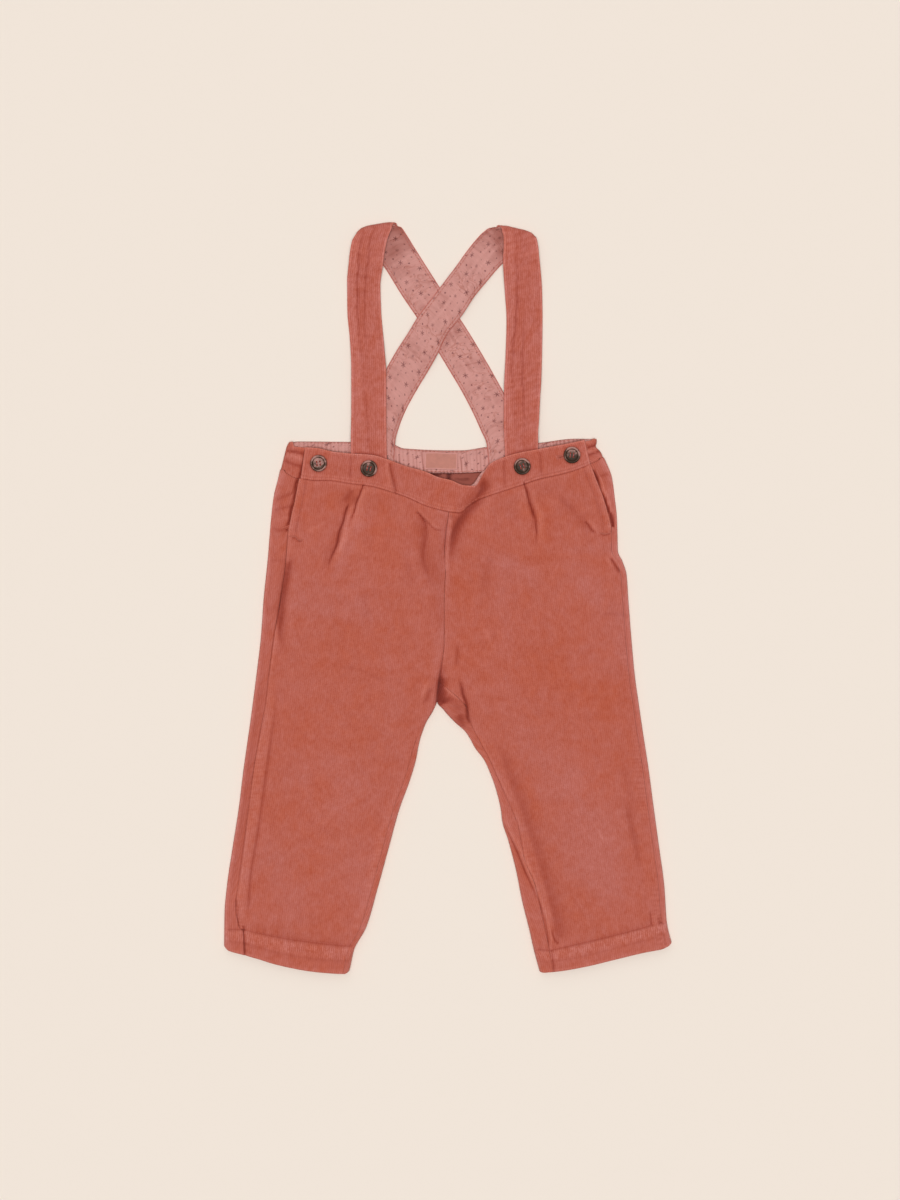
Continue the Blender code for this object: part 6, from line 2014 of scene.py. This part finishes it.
def strap_relief(grid, along, share, inside, seed):
    """Lengthwise folds, wrinkles and stitch lines of a brace in millimetres, and its tone: painted
    shade in troughs, cross wrinkles and stitch lines, painted light on ridges and edges, and the
    painted shadow of the front band.
    """
    total = along[-1:]
    lively = ramp(along, 20, 60) * (1.0 - ramp(along, total - 60, total - 20))
    jitter = 0.012 * np.sin(along * 0.31 + seed) + 0.008 * np.sin(along * 0.77)
    trough = 0.34 + 0.10 * np.sin(along * 0.021 + seed) + 0.05 * np.sin(along * 0.05)
    second = trough + 0.22 + 0.06 * np.sin(along * 0.031 + 2 * seed)
    deep = (0.6 + 0.4 * np.sin(along * 0.045 + seed)) * lively
    shallow = (0.5 + 0.5 * np.sin(along * 0.037 + 2.0 * seed)) * lively
    relief = -0.55 * bell(share - trough, 0.032, jitter) * deep
    relief = relief - 0.4 * bell(share - second, 0.03, -jitter) * shallow
    relief = relief - 0.2 * bell(inside, 0.7, 2.4)
    relief = relief + puckers(along, inside, *STRAP_PUCKERS, seed)
    wavy = np.sin(along * 1.25 + 1.1 * np.sin(along * 0.13 + seed) + 0.8 * np.sin(3.0 * share))
    relief = relief + 0.09 * wavy * (0.55 + 0.45 * np.sin(along * 0.047 + 2.0 * seed))
    tone = 1.4 * relief + 0.25 * bell(share - trough, 0.07, -0.14) * lively
    tone = tone - 0.22 * np.exp(-((share - 0.5) / 0.3) ** 4) + 0.24
    cross = np.sin(along * 0.55 + 2.5 * np.sin(along * 0.05 + seed) + 1.9 * share)
    cross = np.maximum(cross, 0.0) ** 5 * np.maximum(np.sin(along * 0.043 + seed), 0.0)
    cross = cross * np.sin(math.pi * np.clip(share * 1.6 - 0.3 * np.sin(along * 0.09), 0.0, 1.0))
    tone = tone - 0.3 * cross - 0.35 * bell(inside, 0.5, 3.6)
    tone = tone + edge_tone(grid, (None, None, 1.0, 1.0))
    tone = tone + 0.3 * bell(inside, 1.2, 2.6)
    tone = tone + behind_band(grid[:, :, 0], grid[:, :, 1]) * (along < 180)
    across = run_lengths(grid, 1)
    relief = relief - 0.15 * cross + waves(along, across, int(10 * seed), (17, 23, 31), 0.25)
    return relief, tone


def lining_tone(side, grid, along, share, inside, seed):
    """Tone of a brace's lining, without its relief: painted shade below the shoulder, painted shade
    and light of its folds, painted shadow in spots and painted shade along its stitch lines.
    """
    across = run_lengths(grid, 1)
    from_inner = across if side == "right" else across[:, -1:] - across
    fold_row = STRAP_STEPS * len(STRAP_RUNGS[side]["front"]) + STRAP_TURN
    beyond = along - along[fold_row:fold_row + 1]
    shaded = bell(np.maximum(beyond, 0), 16.0) * (0.55 + 0.45 * share)
    shaded = shaded + 0.5 * bell(beyond, 22.0) * bell(from_inner, 5.0)
    folds = 0.15 * np.sin(along * 0.33 + 2.2 * np.sin(along * 0.07 + seed) + share)
    folds = folds * np.maximum(np.sin(along * 0.045 + seed), 0.0) ** 2
    lean = 4.0 * (share if side == "right" else 1.0 - share)
    thin = np.sin(along * 1.05 + 1.7 * np.sin(along * 0.19 + seed) + lean)
    patchy = 0.5 + 0.5 * np.sin(along * 0.11 + 3.0 * share + seed)
    folds = folds - 0.35 * np.maximum(thin, 0.0) ** 6 * patchy
    tone = 0.8 * folds - shaded * (beyond > -2)
    for x, y, reach, amount in LINING_SHADES[side]:
        gap = np.hypot(grid[:, :, 0] - x, grid[:, :, 1] - y)
        tone = tone + 0.6 * amount * bell(gap, reach) * (beyond > 0)
    return tone - 0.35 * bell(inside, 0.6, 2.0)


def add_straps():
    """Two crossed braces: right side and normals of each cord outer and printed lining."""
    made = {}
    rims = [d / STRAP_WIDTH for d in SHELL_ROUND]
    shares = eased(STRAP_SHARES, 0.0, 1.0, rims, rims)
    for side, seed in (("left", 1.0), ("right", 2.6)):
        grid = strap_grid(side, STRAP_STEPS, STRAP_TURN, shares)
        along = run_lengths(grid, 0)
        across = run_lengths(grid, 1)
        width = across[:, -1:]
        share = across / width
        inside = np.minimum(across, width - across)
        relief, tone = strap_relief(grid, along, share, inside, seed)
        # Painted shade and light of the lining, with the brace's relief as seen from the lining's side
        shade = np.tanh(lining_tone(side, grid, along, share, inside, seed) - 0.9 * relief)
        uv = np.stack([across, along], axis=-1)
        bent = grid + normals(grid) * (relief * 0.6)[..., None]
        lip = 0.35 * bell(inside, 0.5)
        name = "strap_" + side
        piece, top, lift = cloth(name + "_cloth", bent, STRAP_GAP + CORD, lip - STRAP_GAP,
                                 [cord, cord], tone_of(tone), uv, nap=1.45, cast=0.55)
        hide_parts(name)
        middle = (bent[:, :1] + bent[:, -1:]) / 2
        narrow = middle + (bent - middle) * LINING_WIDTH
        moved = uv + np.array([37.0 * seed, 11.0 * seed])
        narrow, shade, moved = flipped(narrow, shade, moved)
        lining, lining_top, lining_lift = cloth(name + "_lining_cloth", narrow, STRAP_GAP + PRINT,
                                                -STRAP_GAP, [printed], shade, moved)
        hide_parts(name + "_lining")
        made[side] = (top, lift, lining_top, lining_lift)
    return made


def add_label():
    """Bare label on the inside of the back band: its right side and normals."""
    x0, x1, y0, y1 = LABEL
    across = eased(40, x0, x1, LABEL_ROUND, LABEL_ROUND)
    down = eased(22, y1, y0, LABEL_ROUND, LABEL_ROUND)[:, None]
    x = across + (down - y0) * 0.03
    y = down + 0.35 * np.sin((across - x0) * 0.24)
    z = FACING_FLOOR_Z + PRINT + LABEL_LIFT + waves(x, y, *LABEL_WAVES)
    grid = np.stack([x, y, z], axis=-1)
    piece, top, normal = cloth("label_tape", grid, LABEL_HALF, LABEL_HALF, [label_tape],
                               np.zeros_like(x), grid[:, :, :2])
    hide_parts("label")
    return top, normal


def hole_places(turn):
    """Middles of a button's four holes, from its own middle."""
    angles = math.radians(turn) + math.pi / 4 + np.arange(4) * math.pi / 2
    return BUTTON_HOLE_OUT * np.stack([np.cos(angles), np.sin(angles), np.zeros(4)], axis=-1)


def button_disc(name):
    """Rimmed disc with four holes."""
    points = []
    rings = []
    for radius, height in BUTTON_PROFILE:
        count = BUTTON_SEGMENTS if radius else 1
        first = len(points)
        rings.append([first + k % count for k in range(BUTTON_SEGMENTS + 1)])
        for k in range(count):
            angle = 2 * math.pi * k / BUTTON_SEGMENTS
            points.append((radius * math.cos(angle) * MM, radius * math.sin(angle) * MM, height * MM))
    faces = []
    for low, high in zip(rings, rings[1:]):
        for k in range(BUTTON_SEGMENTS):
            face = (low[k], low[k + 1], high[k + 1], high[k])
            faces.append(tuple(dict.fromkeys(face)))
    mesh = bpy.data.meshes.new(name)
    mesh.from_pydata(points, [], faces)
    mesh.materials.append(tortoiseshell)
    made = bpy.data.objects.new(name, mesh)
    bpy.context.scene.collection.objects.link(made)
    cutters = []
    for place in hole_places(0.0):
        bpy.ops.mesh.primitive_cylinder_add(vertices=20, radius=BUTTON_HOLE_RADIUS * MM,
                                            depth=6 * MM, location=place * MM)
        cutters.append(bpy.context.object)
        cut = made.modifiers.new("hole", "BOOLEAN")
        cut.object = cutters[-1]
        cut.operation = "DIFFERENCE"
    drilled = made.evaluated_get(bpy.context.evaluated_depsgraph_get())
    mesh = bpy.data.meshes.new_from_object(drilled)
    made.modifiers.clear()
    made.data = mesh
    for cutter in cutters:
        bpy.data.objects.remove(cutter)
    mesh.shade_smooth()
    mesh.set_sharp_from_angle(angle=math.radians(50))
    return made


def add_button(name, x, y, turn):
    """Four-hole button, sewn on with two pairs of threads."""
    around = x + BUTTON_RADIUS * np.linspace(-1, 1, 9)
    seat = float(np.max(waist_z(around))) + CORD / 2 + BUTTON_LIFT
    made = button_disc(name + "_disc")
    made.location = ((x - MIDDLE[0]) * MM, (y - MIDDLE[1]) * MM, seat * MM)
    made.rotation_euler = (0, 0, math.radians(turn))
    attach(made, "root")
    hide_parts(name)
    holes = np.array([x, y, seat + BUTTON_THREAD_Z]) + hole_places(turn)
    up = np.array([0.0, 0.0, 1.0])
    ends = []
    for first, second in ((0, 3), (1, 2)):
        ahead = holes[second] - holes[first]
        ahead = ahead / np.linalg.norm(ahead)
        side = np.cross(ahead, up)
        start = holes[first] + ahead * 0.6
        stop = holes[second] - ahead * 0.6
        for shift in (-0.12, 0.12):
            ends.append([start + side * shift, stop + side * shift, up])
    add_beads("button_threads", ends, 0.2, 0.15)


def path_on_front(side, path):
    """Points and normals on the right side of a front piece along a path of x, y."""
    def height(x, y):
        relief, _ = crease_heights(x, y, FRONT_CREASES)
        relief = relief + waves(x, y, *LEG_WAVES)
        return over_z(side, x, y) + relief * relief_share(side, x, y)

    x, y = path_points(path, 1.0).T
    z = height(x, y)
    step = 0.4
    slope_x = (height(x + step, y) - z) / step
    slope_y = (height(x, y + step) - z) / step
    lifts = np.stack([-slope_x, -slope_y, np.ones_like(z)], axis=-1)
    lifts = lifts / np.linalg.norm(lifts, axis=1, keepdims=True)
    return np.stack([x, y, z], axis=-1) + lifts * CORD / 2, lifts


def stitch_spots(points, lifts, pitch, reach):
    """Place, lift, way ahead and way to the side of each stitch that crosses a line."""
    runs = line_runs(points)
    for k in range(int(runs[-1] / pitch)):
        at = (k + 0.5) * pitch
        place = on_line(at, runs, points)
        lift = on_line(at, runs, lifts)
        ahead = on_line(at + reach, runs, points) - place
        ahead = ahead / max(np.linalg.norm(ahead), 1e-6)
        yield place, lift, ahead, np.cross(ahead, lift)


def bartack(points, lifts, width):
    """Close zigzag stitches across a short line."""
    ends = []
    flip = -1
    for place, lift, ahead, side in stitch_spots(points, lifts, TACK_PITCH, 0.2):
        reach = side * width / 2 * flip + ahead * TACK_PITCH / 2
        place = place + lift * 0.1
        ends.append([place - reach, place + reach, lift])
        flip = -flip
    add_beads("stitching", ends, 0.24, 0.1)


def button_hole(top, normal, x, y, turn):
    """Worked buttonhole that shows beside a button."""
    flat = top.reshape(-1, 3)
    lifts = normal.reshape(-1, 3)
    angle = math.radians(turn)
    ahead = np.array([math.cos(angle), math.sin(angle)])
    side = np.array([-math.sin(angle), math.cos(angle)])
    half, count, offset, reach = HOLE_SIDES
    spots = [
        (at, across, 0.05, reach) for at in np.linspace(-half, half, count)
        for across in (-offset, offset)
    ]
    half, count, pitch, reach = HOLE_BARS
    spots += [
        (end + pitch * (k - count // 2), 0.0, 0.08, reach) for end in (-half, half)
        for k in range(count)
    ]
    ends = []
    for at, across, rise, reach in spots:
        spot = np.array([x, y]) + ahead * at + side * across
        near = np.argmin((flat[:, 0] - spot[0]) ** 2 + (flat[:, 1] - spot[1]) ** 2)
        base = np.array([*spot, flat[near, 2]]) + lifts[near] * rise
        stretch = np.array([*side, 0.0]) * reach
        ends.append([base - stretch, base + stretch, lifts[near]])
    add_beads("stitching", ends, 0.2, 0.05)


def overlock(points, lifts, width):
    """Looped edge stitches across a raw edge, leaning one way."""
    ends = []
    for place, lift, ahead, side in stitch_spots(points, lifts, OVERLOCK_PITCH, OVERLOCK_LEAN):
        reach = side * width / 2 + ahead * OVERLOCK_LEAN
        ends.append([place - reach, place + reach, lift])
    add_beads("overlocking", ends, 0.17, 0.25)


fronts = add_fronts()
backs = add_backs()
front_band = add_front_band()
facing = add_back_band()
straps = add_straps()
label = add_label()
for button_name, (button_x, button_y, button_turn) in BUTTONS.items():
    add_button(button_name, button_x, button_y, button_turn)


SIDE_EDGES = ("first_column", "last_column")
# Curved stitches of the fly, and close tacks: side, width, path
FLY_STITCH = [(-23.9, 65.5), (-17, 58.9), (-13.3, 55.6), (-11, 52.8), (-6.7, 51.3), (-2.4, 51)]
TACKS = [
    ("right", 1.4, [(124, 49.5), (119, 48.2), (115.6, 49.6)]),
    ("right", 2.2, [(122.8, 53.5), (123.6, 49.8)]),
    ("left", 1.6, [(-119.6, 46.6), (-115.4, 46.2), (-112.4, 43.6), (-109, 43.8)]),
    ("right", 1.8, [(2.9, 62.4), (2.6, 59)]),
]


def sew_everything():
    """All rows of stitches."""
    for side in ("left", "right"):
        top, normal, rows = fronts[side]
        index = np.arange(len(rows))
        outer_column = "last_column" if side == "left" else "first_column"
        stop = float(np.interp(-(OPENING_END[side] + 1.0), -rows, index)) / index[-1]
        for inset in (1.8, 6.0):
            sew(*line_at(top, normal, inset, outer_column, 0.004, stop))
        hem_row = float(np.interp(-(HEM_LINE[side] + 1.1), -rows, index))
        sew(*row_line(top, normal, hem_row, 0.02, 0.98), pitch=3.1, length=2.5, radius=0.17)
        top, normal, _ = backs[side]
        sew(*row_line(top, normal, hem_row, 0.02, 0.98), pitch=3.1, length=2.5)
    for edge, inset in (("first_row", 2.2), ("last_row", 1.5)):
        sew(*line_at(*front_band, inset, edge, 0.005, 0.995))
    for edge in SIDE_EDGES:
        sew(*line_at(*front_band, 2.0, edge, 0.1, 0.9))
    for side in ("left", "right"):
        top, lift, lining_top, lining_lift = straps[side]
        for edge in SIDE_EDGES:
            sew(*line_at(top, lift, 2.4, edge, 0.01, 0.99))
            sew(*line_at(lining_top, lining_lift, 1.9, edge, 0.01, 0.99))
    for edge, inset in (("first_row", 1.5), ("last_row", 1.2)):
        sew(*line_at(*facing, inset, edge, 0.12, 0.88))
    for edge in SIDE_EDGES:
        sew(*line_at(*label, 0.9, edge, 0.03, 0.97), pitch=1.9, length=1.5)
    sew(*path_on_front("left", FLY_STITCH))
    for side, width, path in TACKS:
        bartack(*path_on_front(side, path), width)
    hole_x, hole_y, _ = BUTTONS["button_4"]
    button_hole(*front_band, hole_x - 2.6, hole_y - 0.4, 10)
    seam_inside = np.array([(0.7, y, CORD + 0.25) for y in (97.0, 94.0, 90.0, 86.0)])
    overlock(seam_inside, np.tile([0.0, 0.0, 1.0], (4, 1)), 2.6)
    for width, start, stop in ((3.0, 0.42, 0.535), (1.4, 0.535, 0.64)):
        overlock(*line_at(*facing, 0.1, "first_row", start, stop), width)


def join_threads():
    """One object for each kind of thread."""
    kinds = {"stitching": thread, "overlocking": dark_thread, "button_threads": button_thread}
    for name, parts in stitch_parts.items():
        points = np.concatenate([part for part, _ in parts])
        points[:, 2] = np.maximum(points[:, 2], 0.0)
        starts = np.cumsum([0] + [len(part) for part, _ in parts[:-1]])
        faces = np.concatenate([ring + start for (_, ring), start in zip(parts, starts)])
        made = mesh_object(name, points, faces, [kinds[name]])


sew_everything()
join_threads()

# Floor, light and camera
FLOOR_SIZE = 6.0
WORLD_STRENGTH = 0.20
bpy.ops.mesh.primitive_plane_add(size=FLOOR_SIZE, location=(0, 0, 0))
floor = bpy.context.object
floor.name = "floor"
floor.data.materials.append(floor_material())

world = bpy.data.worlds.new("studio")
bpy.context.scene.world = world
world.use_nodes = True
background = world.node_tree.nodes["Background"]
background.inputs["Color"].default_value = (*WHITE, 1)
background.inputs["Strength"].default_value = WORLD_STRENGTH


def sun_light(name, tilt, turn, spread, power):
    """Very soft distant light, tilted from straight above towards a compass direction."""
    light = bpy.data.lights.new(name, "SUN")
    light.angle = math.radians(spread)
    light.energy = power
    made = bpy.data.objects.new(name, light)
    bpy.context.scene.collection.objects.link(made)
    made.rotation_euler = (math.radians(tilt), 0, math.radians(turn))


sun_light("key", tilt=-32.0, turn=14.0, spread=66.0, power=0.43)
sun_light("camera_side", tilt=4.0, turn=0.0, spread=30.0, power=2.258)

LENS = 85.0
SENSOR = 36.0
FRAME_HEIGHT = 912.0
FRAME_CENTRE = (1.9, -1.9)
camera_data = bpy.data.cameras.new("camera")
camera_data.lens = LENS
camera_data.sensor_width = SENSOR
camera_data.clip_start = 0.05
camera_data.clip_end = 20.0
camera = bpy.data.objects.new("camera", camera_data)
bpy.context.scene.collection.objects.link(camera)
camera.location = ((FRAME_CENTRE[0] - MIDDLE[0]) * MM, (FRAME_CENTRE[1] - MIDDLE[1]) * MM,
                   FRAME_HEIGHT * LENS / SENSOR * MM)
bpy.context.scene.camera = camera
bpy.context.scene.view_settings.view_transform = "Standard"
